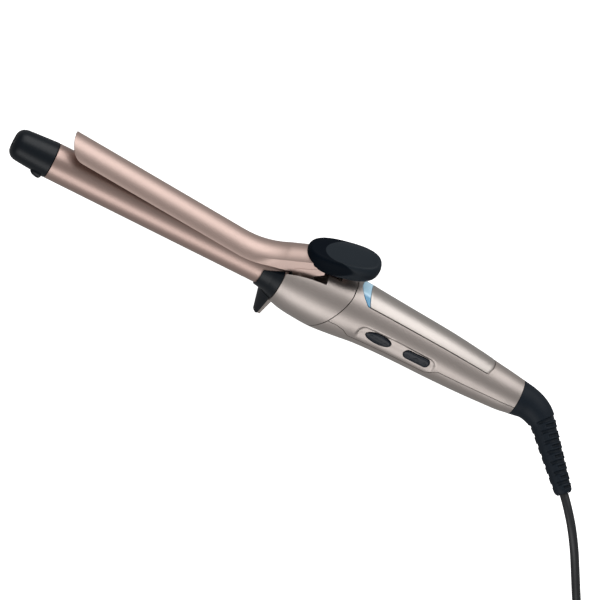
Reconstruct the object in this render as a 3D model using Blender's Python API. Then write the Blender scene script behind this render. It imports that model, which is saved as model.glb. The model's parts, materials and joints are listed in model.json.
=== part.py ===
"""Corded curling iron with a spring clip, lying on its side on a table.

The iron is modelled in its own frame: +X runs from the barrel's tip to the cord, +Z points to the
thumb lever and -Y to the side with the buttons. One empty lays it on the table, and the cord, its
coil and the plug are modelled straight in the table's frame.
"""

import math

import bmesh
import bpy
from mathutils import Matrix, Vector

MM = 0.001
GAP = 0.3                      # clearance between touching pieces, mm

# ---- driving dimensions, in millimetres ----
BARREL_RADIUS = 11.0
BARREL_WALL = 1.0
TIP_CAP_LENGTH = 25.0
BARREL_END = 178.0
CLIP_THICKNESS = 0.75
CLIP_TIP = 29.0
CLIP_HALF_ANGLE = 72.0
CREASE_ANGLE = 52.0
PIVOT = (184.0, 0.0, 10.0)
CLIP_OPEN = 4.4                # how far the clip stands open at rest, degrees
PAD_LENGTH = 44.8
PAD_SHIFT = -0.8                # the outline's middle along the pad, from the middle of its fastening
PAD_WIDTH = 26.0
PAD_TILT = 18.5
PAD_CENTRE = (201.4, 0.0, 31.9)
PAD_SCREWS = (-5.0, 4.0)       # places along the pad
SHELL_WALL = 2.4
HANDLE_END = 335.6
SHELL_SCREWS = (238.0, 300.0)
PANEL_START = 229.2
PANEL_STOP = 311.2
PANEL_HALF_ANGLE = 39.0
PANEL_BOW = -2.4                # the middle of the panel's front end, against its corners
LENS_BOW = -7.6                 # the middle of the display lens's front edge, against its two points
POWER_X = 242.6
POWER_SIZE = (16.6, 6.6)
ROCKER_X = 268.4
ROCKER_SIZE = (17.0, 5.6)
ROCKER_AXIS_Y = -14.6
REAR_AXIS_Z = -3.0
SWIVEL_TURN = -17.0            # the bent strain relief turned about the rear axis, degrees
STRAIN_LEAD = 4.4
STRAIN_BEND = 49.3
STRAIN_BEND_RADIUS = 23.6
STRAIN_LENGTH = 67.0
STRAIN_PLANE = 32.4            # the elbow's plane, degrees from the iron's underside

# ---- the free cord, in millimetres ----
CORD_RADIUS = 2.7
COIL_CENTRE = (225.4, -151.7)
COIL_PITCH = 5.6               # from one turn to the next, sideways and up
COIL_RADII = (25.0, 30.6, 36.2, 41.8)
COIL_LIFT = 0.9                # the tie runs under the coil
TIE_ANGLE = 150.0
TAIL_ANGLE = 250.0             # where the cord leaves the coil for the plug
PLUG_CENTRE_Z = 6.9

# radius and centre height of the round body along the iron
BODY_SECTIONS = (
    (175.6, 16.2, -0.2), (183.0, 18.1, -0.1), (192.0, 19.4, 0.2), (204.0, 20.1, 0.4),
    (218.0, 19.2, 0.7), (233.0, 17.7, 0.9), (254.0, 16.6, 0.4), (283.0, 15.6, -0.8),
    (304.0, 14.3, -1.9), (318.0, 13.1, -2.6), (328.0, 12.2, -3.0), (HANDLE_END, 11.1, -3.0),
)

# ---- how the iron lies on the table, metres and degrees ----
LYING_ROLL = -56.0
TABLE_PLACE = (-0.19452, 0.004033, 0.020045)


def smooth(table, x, column):
    """Reads one column of a table at x through a cubic with finite-difference slopes."""
    last = len(table) - 1
    if x <= table[0][0]:
        return table[0][column]
    if x >= table[last][0]:
        return table[last][column]
    index = next(i for i in range(last) if x <= table[i + 1][0])

    def slope(i):
        low = max(i - 1, 0)
        high = min(i + 1, last)
        return (table[high][column] - table[low][column]) / (table[high][0] - table[low][0])

    x0 = table[index][0]
    span = table[index + 1][0] - x0
    t = (x - x0) / span
    a = table[index][column]
    b = table[index + 1][column]
    ease = t * t * (3 - 2 * t)
    rise = slope(index) * t * (1 - t) ** 2 - slope(index + 1) * t * t * (1 - t)
    return a + (b - a) * ease + rise * span


def body_radius(x):
    return smooth(BODY_SECTIONS, x, 1)


def body_centre(x):
    return smooth(BODY_SECTIONS, x, 2)


def spaced(start, stop, count):
    return [start + (stop - start) * i / (count - 1) for i in range(count)]


# ---- scene, materials and frames ----

for old in list(bpy.data.objects):
    bpy.data.objects.remove(old, do_unlink=True)

MATERIALS = {
    "rose_gold": ((0.55, 0.36, 0.29), 0.28, 0.9),
    "champagne": ((0.50, 0.45, 0.41), 0.35, 0.6),
    "champagne_gloss": ((0.60, 0.56, 0.53), 0.15, 0.6),
    "black_plastic": ((0.015, 0.02, 0.026), 0.45, 0.0),
    "soft_black": ((0.02, 0.026, 0.032), 0.6, 0.0),
    "button_black": ((0.03, 0.035, 0.05), 0.2, 0.0),
    "display_blue": ((0.15, 0.45, 0.65), 0.1, 0.0),
    "steel": ((0.6, 0.6, 0.6), 0.3, 1.0),
    "brass": ((0.75, 0.6, 0.3), 0.3, 1.0),
    "aluminium": ((0.75, 0.75, 0.76), 0.4, 1.0),
    "ceramic": ((0.85, 0.83, 0.78), 0.7, 0.0),
    "circuit_green": ((0.05, 0.25, 0.12), 0.5, 0.0),
    "lead_red": ((0.6, 0.05, 0.04), 0.5, 0.0),
    "lead_blue": ((0.05, 0.12, 0.5), 0.5, 0.0),
    "white_plastic": ((0.8, 0.8, 0.78), 0.5, 0.0),
}


def material(slot):
    found = bpy.data.materials.get(slot)
    if found:
        return found
    color, roughness, metallic = MATERIALS[slot]
    made = bpy.data.materials.new(slot)
    made.use_nodes = True
    shader = made.node_tree.nodes["Principled BSDF"]
    shader.inputs["Base Color"].default_value = (*color, 1.0)
    shader.inputs["Roughness"].default_value = roughness
    shader.inputs["Metallic"].default_value = metallic
    return made


def empty(name, parent=None, location=(0, 0, 0), rotation=(0, 0, 0)):
    made = bpy.data.objects.new(name, None)
    bpy.context.collection.objects.link(made)
    made.location = location
    made.rotation_euler = rotation
    made.parent = parent
    return made


iron = empty("iron_frame", location=TABLE_PLACE, rotation=(math.radians(LYING_ROLL), 0, 0))
clip_frame = empty("clip_frame", iron, Vector(PIVOT) * MM, (0, math.radians(CLIP_OPEN), 0))
swivel_frame = empty(
    "swivel_frame", iron, (HANDLE_END * MM, 0, REAR_AXIS_Z * MM), (math.radians(SWIVEL_TURN), 0, 0)
)


def add_object(name, bm, slot, parent, origin):
    """Turns a bmesh in millimetres into an object whose origin is at the given point of its frame."""
    bmesh.ops.recalc_face_normals(bm, faces=bm.faces)
    bmesh.ops.translate(bm, verts=bm.verts, vec=-Vector(origin))
    bmesh.ops.scale(bm, verts=bm.verts, vec=(MM, MM, MM))
    mesh = bpy.data.meshes.new(name)
    bm.to_mesh(mesh)
    bm.free()
    mesh.shade_smooth()
    mesh.set_sharp_from_angle(angle=math.radians(35))
    made = bpy.data.objects.new(name, mesh)
    bpy.context.collection.objects.link(made)
    if slot:
        mesh.materials.append(material(slot))
    made.parent = parent
    if parent is iron or parent is None:
        made.location = Vector(origin) * MM
    return made


def fixed(name, bm, slot, origin=(0, 0, 0)):
    return add_object(name, bm, slot, iron, origin)


def on_clip(name, bm, slot):
    """A piece drawn in the iron's frame with the clip closed, riding on the clip."""
    return add_object(name, bm, slot, clip_frame, PIVOT)


def on_swivel(name, bm, slot):
    """A piece drawn along the rear axis, x from the handle's end, riding on the swivel."""
    return add_object(name, bm, slot, swivel_frame, (0, 0, 0))


def cutter(bm, parent=iron, origin=(0, 0, 0)):
    made = add_object("cutter", bm, None, parent, origin)
    made.hide_render = True
    made.display_type = "WIRE"
    return made


def boolean(target, tool, operation="DIFFERENCE"):
    modifier = target.modifiers.new(operation.lower(), "BOOLEAN")
    modifier.operation = operation
    modifier.object = tool
    modifier.solver = "EXACT"


# ---- shapes, in millimetres ----

def box(low, high):
    bm = bmesh.new()
    bmesh.ops.create_cube(bm, size=1.0)
    for vert in bm.verts:
        for axis in range(3):
            vert.co[axis] = low[axis] if vert.co[axis] < 0 else high[axis]
    return bm


def grid_solid(rings, closed):
    """Joins rings of equal length; closed joins the last ring to the first, else the ends are capped."""
    bm = bmesh.new()
    rows = [[bm.verts.new(point) for point in ring] for ring in rings]
    count = len(rows[0])
    pairs = list(zip(rows, rows[1:]))
    if closed:
        pairs.append((rows[-1], rows[0]))
    for first, second in pairs:
        for i in range(count):
            j = (i + 1) % count
            bm.faces.new((first[i], first[j], second[j], second[i]))
    if not closed:
        bm.faces.new(rows[0])
        bm.faces.new(rows[-1])
    return bm


def turned(profile, segments=32, centre=(0.0, 0.0)):
    """Spins a profile of (x, radius) about the X axis: a closed loop, or solid if it ends on the axis."""
    solid = profile[0][1] == 0.0
    rings = [ring_points(x, radius, centre, segments) for x, radius in profile if radius > 0.0]
    return grid_solid(rings, closed=not solid)


def upright_screw(x, head, shank, seat, tip, segments=12):
    """A screw standing along Z, its head at the bottom; head and shank are (radius, length) and radius."""
    screw = turned([
        (seat, 0.0), (seat, head[0]), (seat + head[1], head[0]), (seat + head[1], shank), (tip, shank),
        (tip, 0.0),
    ], segments)
    bmesh.ops.transform(screw, matrix=Matrix.Rotation(math.radians(-90), 4, "Y"), verts=screw.verts)
    bmesh.ops.translate(screw, verts=screw.verts, vec=(x, 0, 0))
    return screw


def ring_points(x, radius, centre=(0.0, 0.0), segments=32):
    angles = [2 * math.pi * i / segments for i in range(segments)]
    return [(x, centre[0] + radius * math.sin(a), centre[1] + radius * math.cos(a)) for a in angles]


def prism(outline, low, high, axis="Y"):
    """Extrudes an outline; along Y it is given in (x, z), along X in (y, z), along Z in (x, y)."""
    place = {
        "X": lambda u, v, w: (w, u, v),
        "Y": lambda u, v, w: (u, w, v),
        "Z": lambda u, v, w: (u, v, w),
    }[axis]
    rings = [[place(u, v, w) for u, v in outline] for w in (low, high)]
    return grid_solid(rings, closed=False)


def cross_rod(centre_x, centre_z, radius, low, high, segments=20):
    angles = [2 * math.pi * (i + 0.4) / segments for i in range(segments)]
    outline = [(centre_x + radius * math.cos(a), centre_z + radius * math.sin(a)) for a in angles]
    return prism(outline, low, high, "Y")


def upright_rod(centre_x, centre_y, radius, low, high, segments=16):
    angles = [2 * math.pi * (i + 0.4) / segments for i in range(segments)]
    outline = [(centre_x + radius * math.cos(a), centre_y + radius * math.sin(a)) for a in angles]
    return prism(outline, low, high, "Z")


def pill(length, width, segments=8):
    """Outline of a slot with round ends, centred on zero, long along its first axis."""
    half = (length - width) / 2
    right = [math.pi * (i / segments - 0.5) for i in range(segments + 1)]
    points = [(half + width / 2 * math.cos(a), width / 2 * math.sin(a)) for a in right]
    return points + [(-u, -v) for u, v in points]


def oval(length, width, segments=24):
    angles = [2 * math.pi * i / segments for i in range(segments)]
    return [(length / 2 * math.cos(a), width / 2 * math.sin(a)) for a in angles]


def moved(outline, du, dv):
    return [(u + du, v + dv) for u, v in outline]


def wire(name, points, radius, slot, parent=iron, resolution=1):
    """A round wire or cord through points in millimetres, as a curve with filled caps."""
    curve = bpy.data.curves.new(name, "CURVE")
    curve.dimensions = "3D"
    curve.bevel_depth = radius * MM
    curve.bevel_resolution = resolution
    curve.use_fill_caps = True
    spline = curve.splines.new("POLY")
    spline.points.add(len(points) - 1)
    for slot_point, point in zip(spline.points, points):
        slot_point.co = (*(Vector(point) * MM), 1.0)
    made = bpy.data.objects.new(name, curve)
    bpy.context.collection.objects.link(made)
    curve.materials.append(material(slot))
    made.parent = parent
    return made


def through(points, steps):
    """Points of a Catmull-Rom curve through the given points, a number of steps for each stretch."""
    made = []
    padded = [points[0], *points, points[-1]]
    for i in range(len(points) - 1):
        p0, p1, p2, p3 = (Vector(p) for p in padded[i:i + 4])
        for k in range(steps):
            t = k / steps
            made.append(
                0.5 * (2 * p1 + (p2 - p0) * t + (2 * p0 - 5 * p1 + 4 * p2 - p3) * t * t
                       + (3 * p1 - p0 - 3 * p2 + p3) * t ** 3)
            )
    made.append(Vector(points[-1]))
    return made


# ---- barrel, tip and heater ----

def build_barrel():
    inner = BARREL_RADIUS - BARREL_WALL
    start = TIP_CAP_LENGTH + GAP
    fixed("barrel_tube", turned([
        (start, inner), (start, BARREL_RADIUS), (BARREL_END, BARREL_RADIUS), (BARREL_END, inner),
    ], 36), "rose_gold")

    cap = fixed("tip_cap", turned([
        (1.6, 2.0), (1.6, 3.8), (0.3, 4.3), (0.0, 5.4), (1.0, 7.4), (2.6, 8.8), (5.0, 9.6), (9.0, 9.9),
        (TIP_CAP_LENGTH, 11.1), (TIP_CAP_LENGTH, 9.7), (33.0, 9.7), (33.0, 7.5), (5.0, 7.5),
        (4.0, 2.0),
    ], 28), "black_plastic")
    for side in (-1, 1):
        nub = bmesh.new()
        bmesh.ops.create_icosphere(nub, subdivisions=2, radius=1.0)
        bmesh.ops.scale(nub, verts=nub.verts, vec=(3.4, 2.6, 3.0))
        angle = math.radians(42) * side
        bmesh.ops.translate(nub, verts=nub.verts, vec=(20.6, 10.0 * math.sin(angle), -10.0 * math.cos(angle)))
        boolean(cap, cutter(nub), "UNION")

    fixed("tip_screw", turned([
        (0.0, 0.0), (0.0, 1.0), (0.6, 1.0), (0.6, 2.9), (1.3, 3.2), (1.3, 1.6), (42.0, 1.6), (42.0, 0.0),
    ], 20), "steel")
    fixed("tip_anchor", turned([(36.0, 2.0), (36.0, 9.6), (39.5, 9.6), (39.5, 2.0)], 32), "steel")
    fixed("barrel_end_plug", turned([
        (166.0, 3.0), (166.0, 9.6), (177.5, 9.6), (177.5, 3.0),
    ], 32), "ceramic")


def half_round(radius, flat, segments=14):
    """Outline in (y, z) of the part of a disc above a flat."""
    low = math.asin(flat / radius)
    angles = spaced(low, math.pi - low, segments)
    return [(radius * math.cos(a), radius * math.sin(a)) for a in angles]


def build_heater():
    upper = half_round(9.6, 2.1)
    lower = [(y, -z) for y, z in upper]
    fixed("heater_block_upper", prism(upper, 48.0, 150.0, "X"), "aluminium")
    fixed("heater_block_lower", prism(lower, 48.0, 150.0, "X"), "aluminium")
    fixed("ptc_element", box((54, -7, -1.0), (144, 7, 1.0)), "ceramic")
    fixed("electrode_upper", box((50, -6, 1.3), (154, 6, 1.75)), "brass")
    fixed("electrode_lower", box((50, -6, -1.75), (154, 6, -1.3)), "brass")
    fixed("thermal_fuse", turned([
        (152.0, 0.0), (152.0, 1.7), (162.0, 1.7), (162.0, 0.0),
    ], 12, (0.0, 6.5)), "white_plastic")
    fixed("temperature_sensor", turned([
        (151.0, 0.0), (151.0, 1.3), (156.0, 1.3), (156.0, 0.0),
    ], 12, (0.0, -6.5)), "ceramic")


# ---- front housing, collar and stand foot ----

def body_rings(xs, offset, segments=32):
    return [
        ring_points(x, body_radius(x) + offset, (0.0, body_centre(x)), segments) for x in xs
    ]


def body_tube(start, stop, stations, wall, lip=None, segments=32):
    """A length of the round body as a tube; lip is an inner radius for the last few millimetres."""
    xs = spaced(start, stop, stations)
    outer = body_rings(xs, 0.0, segments)
    if lip:
        inner_xs = [x for x in xs if x < stop - 8.0] + [stop - 7.4]
        inner = body_rings(inner_xs, -wall, segments)
        inner += [ring_points(x, lip, (0.0, REAR_AXIS_Z), segments) for x in (stop - 7.2, stop)]
    else:
        inner = body_rings(xs, -wall, segments)
    return grid_solid(outer + inner[::-1], closed=True)


# where the front housing meets the handle, in (x, z): nearly straight on top, swept forward below
SEAM = ((217.0, 26.0), (217.2, 18.0), (216.3, 13.5), (213.4, 6.5), (209.0, -3.0), (203.7, -12.5),
        (197.0, -22.0), (195.0, -26.0))


def beyond_seam(shift):
    """Everything behind the seam, moved by shift along X."""
    points = [(x + shift, z) for x, z in SEAM]
    return prism([(360.0, 26.0), *points, (360.0, -26.0)], -30.0, 30.0, "Y")


FOOT_LEVELS = ((-9.0, 166.6, 174.7, 178.6, 10.5), (-29.9, 172.5, 174.1, 177.0, 4.0))


def foot_outline(level, inset=0.0, shell=None):
    """One level of the foot in (x, y): a bowed front and a flat back. shell keeps only the front."""
    _, front, corner, rear, half = level
    half -= inset * 0.5
    sweep = spaced(-1.0, 1.0, 9)
    bow = [(front + inset + (corner - front) * t * t, half * t) for t in sweep]
    if shell:
        back = [(x + shell, y * 0.97) for x, y in bow]
        return bow + back[::-1]
    return bow + [(rear, half), (rear, -half)]


def foot_solid(inset=0.0, shell=None):
    rings = [
        [(x, y, level[0]) for x, y in foot_outline(level, inset, shell)] for level in FOOT_LEVELS
    ]
    return grid_solid(rings, closed=False)


def collar_outer(grow=0.0):
    return [(163.6, 12.0 + grow), (166.0, 12.3 + grow), (170.0, 13.0 + grow), (175.6, 15.3 + grow)]


def build_front():
    collar = fixed("barrel_collar", turned([
        (163.6, 11.3), *collar_outer(), (175.6, 13.3), (180.5, 13.3), (180.5, 11.3),
    ], 32), "black_plastic")
    clip_room = [(160.0, 3.6), (164.0, 4.6), (175.8, 8.6), (176.2, 4.5), (182.0, 4.5), (182.0, 20.0), (160.0, 20.0)]
    boolean(collar, cutter(prism(clip_room, -20.0, 20.0, "Y")))

    housing = fixed("front_housing", body_tube(175.9, 222.0, 9, SHELL_WALL), "champagne")
    boolean(housing, cutter(beyond_seam(0.0)))
    boolean(housing, cutter(box((170, -12.4, 4.0), (199.5, 12.4, 30.0))))
    boolean(housing, cutter(box((199.0, -6.8, 12.0), (207.5, 6.8, 30.0))))
    foot = foot_solid(inset=1.5)
    foot_piece = cutter(foot)
    boolean(foot_piece, cutter(turned([(150.0, 0.0), (150.0, 11.8), *collar_outer(GAP)[0:4],
                                       (175.7, 15.6), (175.7, 14.1), (182.0, 14.1), (182.0, 0.0)], 32)))
    boolean(housing, foot_piece, "UNION")
    facing = fixed("foot_facing", foot_solid(shell=1.1), "black_plastic")
    boolean(facing, cutter(turned([(150.0, 0.0), (150.0, 11.8), *collar_outer(GAP)[0:4],
                                   (175.6, 0.0)], 32)))


# ---- handle shells, panel and display ----

# the joint between the upper and lower shells in (x, z): it dips below the two buttons
SHELL_JOINT = (
    (180.0, -1.0), (216.5, -1.4), (221.5, -3.0), (225.5, -6.3), (277.0, -6.8), (284.0, -1.9), (350.0, -3.6),
)


def shell_side(upper):
    """Everything above or below the joint between the shells, half a gap away from it."""
    away = 20.0 if upper else -30.0
    shift = GAP / 2 if upper else -GAP / 2
    line = [(x, z + shift) for x, z in SHELL_JOINT]
    return prism([*line, (350.0, away + 10.0), (180.0, away + 10.0)], -30.0, 30.0, "Y")


def skin_patch(start, stop, half_angle, out, depth, bow_start=0.0, bow_stop=0.0, columns=7, rows=10):
    """A piece of the body's skin about its top; bow pulls the middle of an end along X."""
    rings = []
    for j in range(columns):
        t = 2 * j / (columns - 1) - 1
        angle = math.radians(half_angle) * t
        xs = spaced(start + bow_start * (1 - t * t), stop + bow_stop * (1 - t * t), rows)
        ring = []
        for offset, line in ((out, xs), (-depth, xs[::-1])):
            for x in line:
                radius = body_radius(x) + offset
                ring.append((x, radius * math.sin(angle), body_centre(x) + radius * math.cos(angle)))
        rings.append(ring)
    return grid_solid(rings, closed=False)


def build_handle():
    upper = fixed("handle_upper_shell", body_tube(190.0, HANDLE_END, 17, SHELL_WALL, lip=7.0), "champagne")
    lower = fixed("handle_lower_shell", body_tube(190.0, HANDLE_END, 17, SHELL_WALL, lip=7.0), "champagne")
    for shell, side in ((upper, True), (lower, False)):
        boolean(shell, cutter(beyond_seam(GAP)), "INTERSECT")
        boolean(shell, cutter(shell_side(side)), "INTERSECT")

    recess = skin_patch(PANEL_START - 1.2, PANEL_STOP + GAP, PANEL_HALF_ANGLE + 1.4, 1.0, 1.6,
                        bow_start=LENS_BOW, bow_stop=2.8, rows=11)
    boolean(upper, cutter(recess))
    window = skin_patch(PANEL_START - 2.6, PANEL_START - 2.0, PANEL_HALF_ANGLE - 6.0, 1.0, 6.0,
                        bow_start=LENS_BOW + 2.6, bow_stop=PANEL_BOW, rows=4)
    boolean(upper, cutter(window))
    for x, outline in ((POWER_X, oval(POWER_SIZE[0] + 2 * GAP, POWER_SIZE[1] + 2 * GAP)),
                       (ROCKER_X, pill(ROCKER_SIZE[0] + 2 * GAP, ROCKER_SIZE[1] + 2 * GAP))):
        hole = prism(moved(outline, x, body_centre(x)), -25.0, -9.0, "Y")
        boolean(upper, cutter(hole))
    for x in SHELL_SCREWS:
        boolean(lower, cutter(upright_rod(x, 0.0, 1.8, -30.0, -4.0)))
        boolean(lower, cutter(upright_rod(x, 0.0, 3.2, -30.0, body_centre(x) - body_radius(x) + 1.9)))

    panel = skin_patch(PANEL_START, PANEL_STOP, PANEL_HALF_ANGLE, 0.15, 1.2, bow_start=PANEL_BOW, bow_stop=2.6)
    fixed("top_panel", panel, "champagne_gloss")
    lens = skin_patch(PANEL_START - 0.9, PANEL_START - GAP, PANEL_HALF_ANGLE, 0.1, 1.2,
                      bow_start=LENS_BOW, bow_stop=PANEL_BOW, rows=4)
    fixed("display_lens", lens, "display_blue")


def build_electronics():
    fixed("display_module", box((222.5, -7.3, 12.2), (229.0, 7.3, 14.4)), "display_blue")
    fixed("circuit_board", box((222, -9.0, -3.4), (308, 9.0, -1.8)), "circuit_green")
    fixed("button_board", box((232, -9.8, -1.4), (282, -8.6, 5.4)), "circuit_green")
    fixed("control_chip", box((250, -4.0, -1.4), (259, 5.0, 0.4)), "black_plastic")
    fixed("power_capacitor", box((284, -4.5, -1.4), (297, 4.5, 6.0)), "black_plastic")
    fixed("triac", box((268, -4.5, -1.4), (273, 5.5, 7.5)), "black_plastic")
    fixed("varistor", cross_rod(277.5, 3.2, 3.6, -2.0, 2.0, 16), "lead_blue")
    for name, x in (("switch_power", POWER_X), ("switch_warmer", ROCKER_X - 5.2),
                    ("switch_cooler", ROCKER_X + 5.2)):
        fixed(name, box((x - 2.2, -11.4, body_centre(x) - 1.8), (x + 2.2, -10.1, body_centre(x) + 1.8)),
              "black_plastic")
    for name, x in zip(("shell_screw_front", "shell_screw_rear"), SHELL_SCREWS):
        seat = body_centre(x) - body_radius(x) + 0.2
        fixed(name, upright_screw(x, (2.8, 1.4), 1.4, seat, -4.2), "steel")


def build_buttons():
    z = body_centre(POWER_X)
    face = -body_radius(POWER_X) - 0.3
    power = fixed("power_button", prism(moved(oval(*POWER_SIZE), POWER_X, z), face, -12.4, "Y"),
                  "button_black", origin=(POWER_X, face, z))
    flange = prism(moved(oval(POWER_SIZE[0] + 2.0, POWER_SIZE[1] + 2.0), POWER_X, z), -13.1, -12.4, "Y")
    boolean(power, cutter(flange), "UNION")

    z = body_centre(ROCKER_X)
    face = -body_radius(ROCKER_X) - 0.6
    fixed("temp_rocker", prism(moved(pill(*ROCKER_SIZE), ROCKER_X, z), face, -12.6, "Y"),
          "button_black", origin=(ROCKER_X, ROCKER_AXIS_Y, z))


# ---- spring clip and thumb lever ----

def clip_line(x):
    """Height of the clip's arc centre, closed: straight, a bend, then a 29 degree climb."""
    bend_start, bend_radius, climb = 144.4, 55.0, math.radians(29.0)
    bend_end = bend_start + bend_radius * math.sin(climb)
    if x <= bend_start:
        return 0.0
    if x <= bend_end:
        return bend_radius - math.sqrt(bend_radius ** 2 - (x - bend_start) ** 2)
    return bend_radius * (1 - math.cos(climb)) + (x - bend_end) * math.tan(climb)


CLIP_EDGE = ((156.0, 3.7), (162.0, 5.5), (168.0, 7.4), (172.0, 8.8), (176.8, 10.6), (181.0, 12.2),
             (187.0, 16.0), (194.0, 20.5))


def clip_section(x, inset, across=8):
    """Outer or inner line of the clip across the iron at x, from one edge over the top to the other."""
    radius = BARREL_RADIUS + GAP + CLIP_THICKNESS - inset
    centre = clip_line(x)
    slope = (clip_line(x + 0.5) - clip_line(x - 0.5)) / 1.0
    stretch = math.sqrt(1 + slope * slope)
    upright = min(max((x - 156.0) / 14.0, 0.0), 1.0)
    edge = smooth(CLIP_EDGE, x, 1)
    narrow = half_angle_at(x)
    crease = min(CREASE_ANGLE, narrow * 0.7)
    points = []
    for angle in spaced(-crease, crease, across + 1):
        a = math.radians(angle)
        points.append((x, radius * math.sin(a), centre + radius * math.cos(a) * stretch))
    for side in (-1, 1):
        legs = []
        top_y = radius * math.sin(math.radians(crease))
        top_z = centre + radius * math.cos(math.radians(crease)) * stretch
        for t in (1 / 3, 2 / 3, 1.0):
            a = math.radians(crease + (narrow - crease) * t)
            round_y = radius * math.sin(a)
            round_z = centre + radius * math.cos(a) * stretch
            flat_y = top_y
            flat_z = top_z + (edge - top_z) * t
            legs.append((x, side * (round_y + (flat_y - round_y) * upright),
                         round_z + (flat_z - round_z) * upright))
        points = legs[::-1] + points if side < 0 else points + legs
    return points


def half_angle_at(x):
    """The clip's rounded end: a half ellipse 11 mm deep."""
    depth = 11.0
    t = min((x - CLIP_TIP + 0.15) / depth, 1.0)
    return CLIP_HALF_ANGLE * math.sqrt(max(1 - (1 - t) ** 2, 0.0))


def build_clip():
    xs = [CLIP_TIP + d for d in (0.0, 0.5, 1.5, 3.0, 5.0, 8.0, 11.0)]
    xs += [90.0, 140.0, 144.4, 148.4, 152.4, 156.0, 159.0, 162.0, 165.0, 168.0, 172.0, 176.0, 180.0, 184.0, 188.5]
    rings = [clip_section(x, 0.0) + clip_section(x, CLIP_THICKNESS)[::-1] for x in xs]
    shell = on_clip("clip_shell", grid_solid(rings, closed=False), "rose_gold")
    ear = [(178.0, 12.4), (180.2, 9.0), (181.6, 7.2), (184.0, 6.2), (186.6, 7.4), (188.0, 10.0),
           (190.4, 16.0), (195.2, 20.4), (194.4, 22.4), (190.0, 21.9), (186.0, 18.6), (180.0, 15.4)]
    for side in (-1, 1):
        inner, outer = sorted((side * 8.95, side * 9.8))
        boolean(shell, cutter(prism(ear, inner, outer, "Y"), clip_frame, PIVOT), "UNION")
    for low, high in (((-16.0, -9.4, -6.2), (-12.4, 9.4, -5.0)), ((-12.8, -6.0, -6.2), (8.0, 6.0, -5.0))):
        boolean(shell, cutter(pad_frame(box(low, high)), clip_frame, PIVOT), "UNION")
    boolean(shell, cutter(cross_rod(PIVOT[0], PIVOT[2], 1.75, -15.0, 15.0), clip_frame, PIVOT))
    for u in PAD_SCREWS:
        hole = pad_frame(upright_screw(u, (2.6, 1.6), 1.5, -7.0, -4.0))
        boolean(shell, cutter(hole, clip_frame, PIVOT))

    pad = on_clip("thumb_pad", pad_frame(pad_solid()), "soft_black")
    arm = [clip_section(x, -GAP) + [(x, 9.0, 5.0), (x, -9.0, 5.0)] for x in (176.0, 180.0, 184.0, 188.9)]
    boolean(pad, cutter(grid_solid(arm, closed=False), clip_frame, PIVOT))
    for low, high in (((-30.0, -10.15, -12.0), (-8.5, 10.15, -4.67)), ((-10.0, -6.3, -12.0), (8.3, 6.3, -4.73))):
        boolean(pad, cutter(pad_frame(box(low, high)), clip_frame, PIVOT))
    for u in PAD_SCREWS:
        boolean(pad, cutter(pad_frame(upright_rod(u, 0.0, 1.5, -8.0, 0.0, 12)), clip_frame, PIVOT))
    for name, u in zip(("pad_screw_front", "pad_screw_rear"), PAD_SCREWS):
        on_clip(name, pad_frame(upright_screw(u, (2.3, 0.5), 1.2, -6.2, -0.6)), "steel")


def pad_frame(bm):
    """Moves a shape drawn about the pad's middle, x along the pad, to its tilted place."""
    turn = Matrix.Rotation(math.radians(-PAD_TILT), 4, "Y")
    bmesh.ops.transform(bm, matrix=Matrix.Translation(Vector(PAD_CENTRE)) @ turn, verts=bm.verts)
    return bm


def pad_solid():
    """A full oval pad with a dished top: rings of (share of the half size, height)."""
    profile = ((0.12, 3.1), (0.5, 3.2), (0.76, 3.5), (0.9, 3.9), (0.97, 2.8), (1.0, 0.6), (0.985, -2.6),
               (0.92, -5.6), (0.8, -7.0), (0.12, -7.2))
    rings = []
    for share, height in profile:
        ring = []
        for i in range(28):
            angle = 2 * math.pi * i / 28
            along = math.copysign(abs(math.cos(angle)) ** 0.8, math.cos(angle))
            side = math.copysign(abs(math.sin(angle)) ** 0.8, math.sin(angle))
            ring.append((PAD_SHIFT + PAD_LENGTH / 2 * share * along, PAD_WIDTH / 2 * share * side, height))
        rings.append(ring)
    return grid_solid(rings, closed=False)


def build_hinge():
    x, _, z = PIVOT
    bracket = fixed("clip_bracket", box((180.9, -8.6, 1.0), (192.0, 8.6, 13.2)), "steel")
    boolean(bracket, cutter(box((170, -7.5, 2.2), (200, 7.5, 20.0))))
    boolean(bracket, cutter(cross_rod(x, z, 1.95, -15.0, 15.0)))
    fixed("clip_pin", cross_rod(x, z, 1.6, -11.2, 11.2, 20), "steel", origin=PIVOT)
    turns = 5
    steps = 8
    coil = [
        (x + 3.1 * math.cos(2 * math.pi * k / steps), -4.5 + 9.0 * k / (turns * steps),
         z + 3.1 * math.sin(2 * math.pi * k / steps))
        for k in range(turns * steps + 1)
    ]
    lower_leg = [(196.5, -4.9, 3.4), (189.5, -4.8, 4.2), (187.6, -4.7, 7.0)]
    upper_leg = [(189.0, 4.9, 12.5), (198.4, 5.0, 20.6)]
    wire("clip_spring", lower_leg + coil + upper_leg, 0.5, "steel", resolution=0)


# ---- cord swivel, strain relief and leads ----

def strain_path(distance):
    """Centre and heading of the strain relief: an elbow, then straight."""
    bend = math.radians(STRAIN_BEND)
    arc = STRAIN_BEND_RADIUS * bend
    turned_off = min(max(distance - STRAIN_LEAD, 0.0), arc)
    heading = turned_off / STRAIN_BEND_RADIUS
    forward = min(distance, STRAIN_LEAD) + STRAIN_BEND_RADIUS * math.sin(heading)
    sideways = STRAIN_BEND_RADIUS * (1 - math.cos(heading))
    straight = max(distance - STRAIN_LEAD - arc, 0.0)
    return (forward + straight * math.cos(bend), sideways + straight * math.sin(bend), heading)


STRAIN_RADII = ((0.0, 11.1), (4.0, 10.5), (9.0, 9.8), (17.0, 9.0), (25.0, 7.8), (40.0, 7.0), (54.0, 6.2),
                (64.0, 5.6), (66.2, 5.0), (STRAIN_LENGTH, 4.0))


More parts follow.
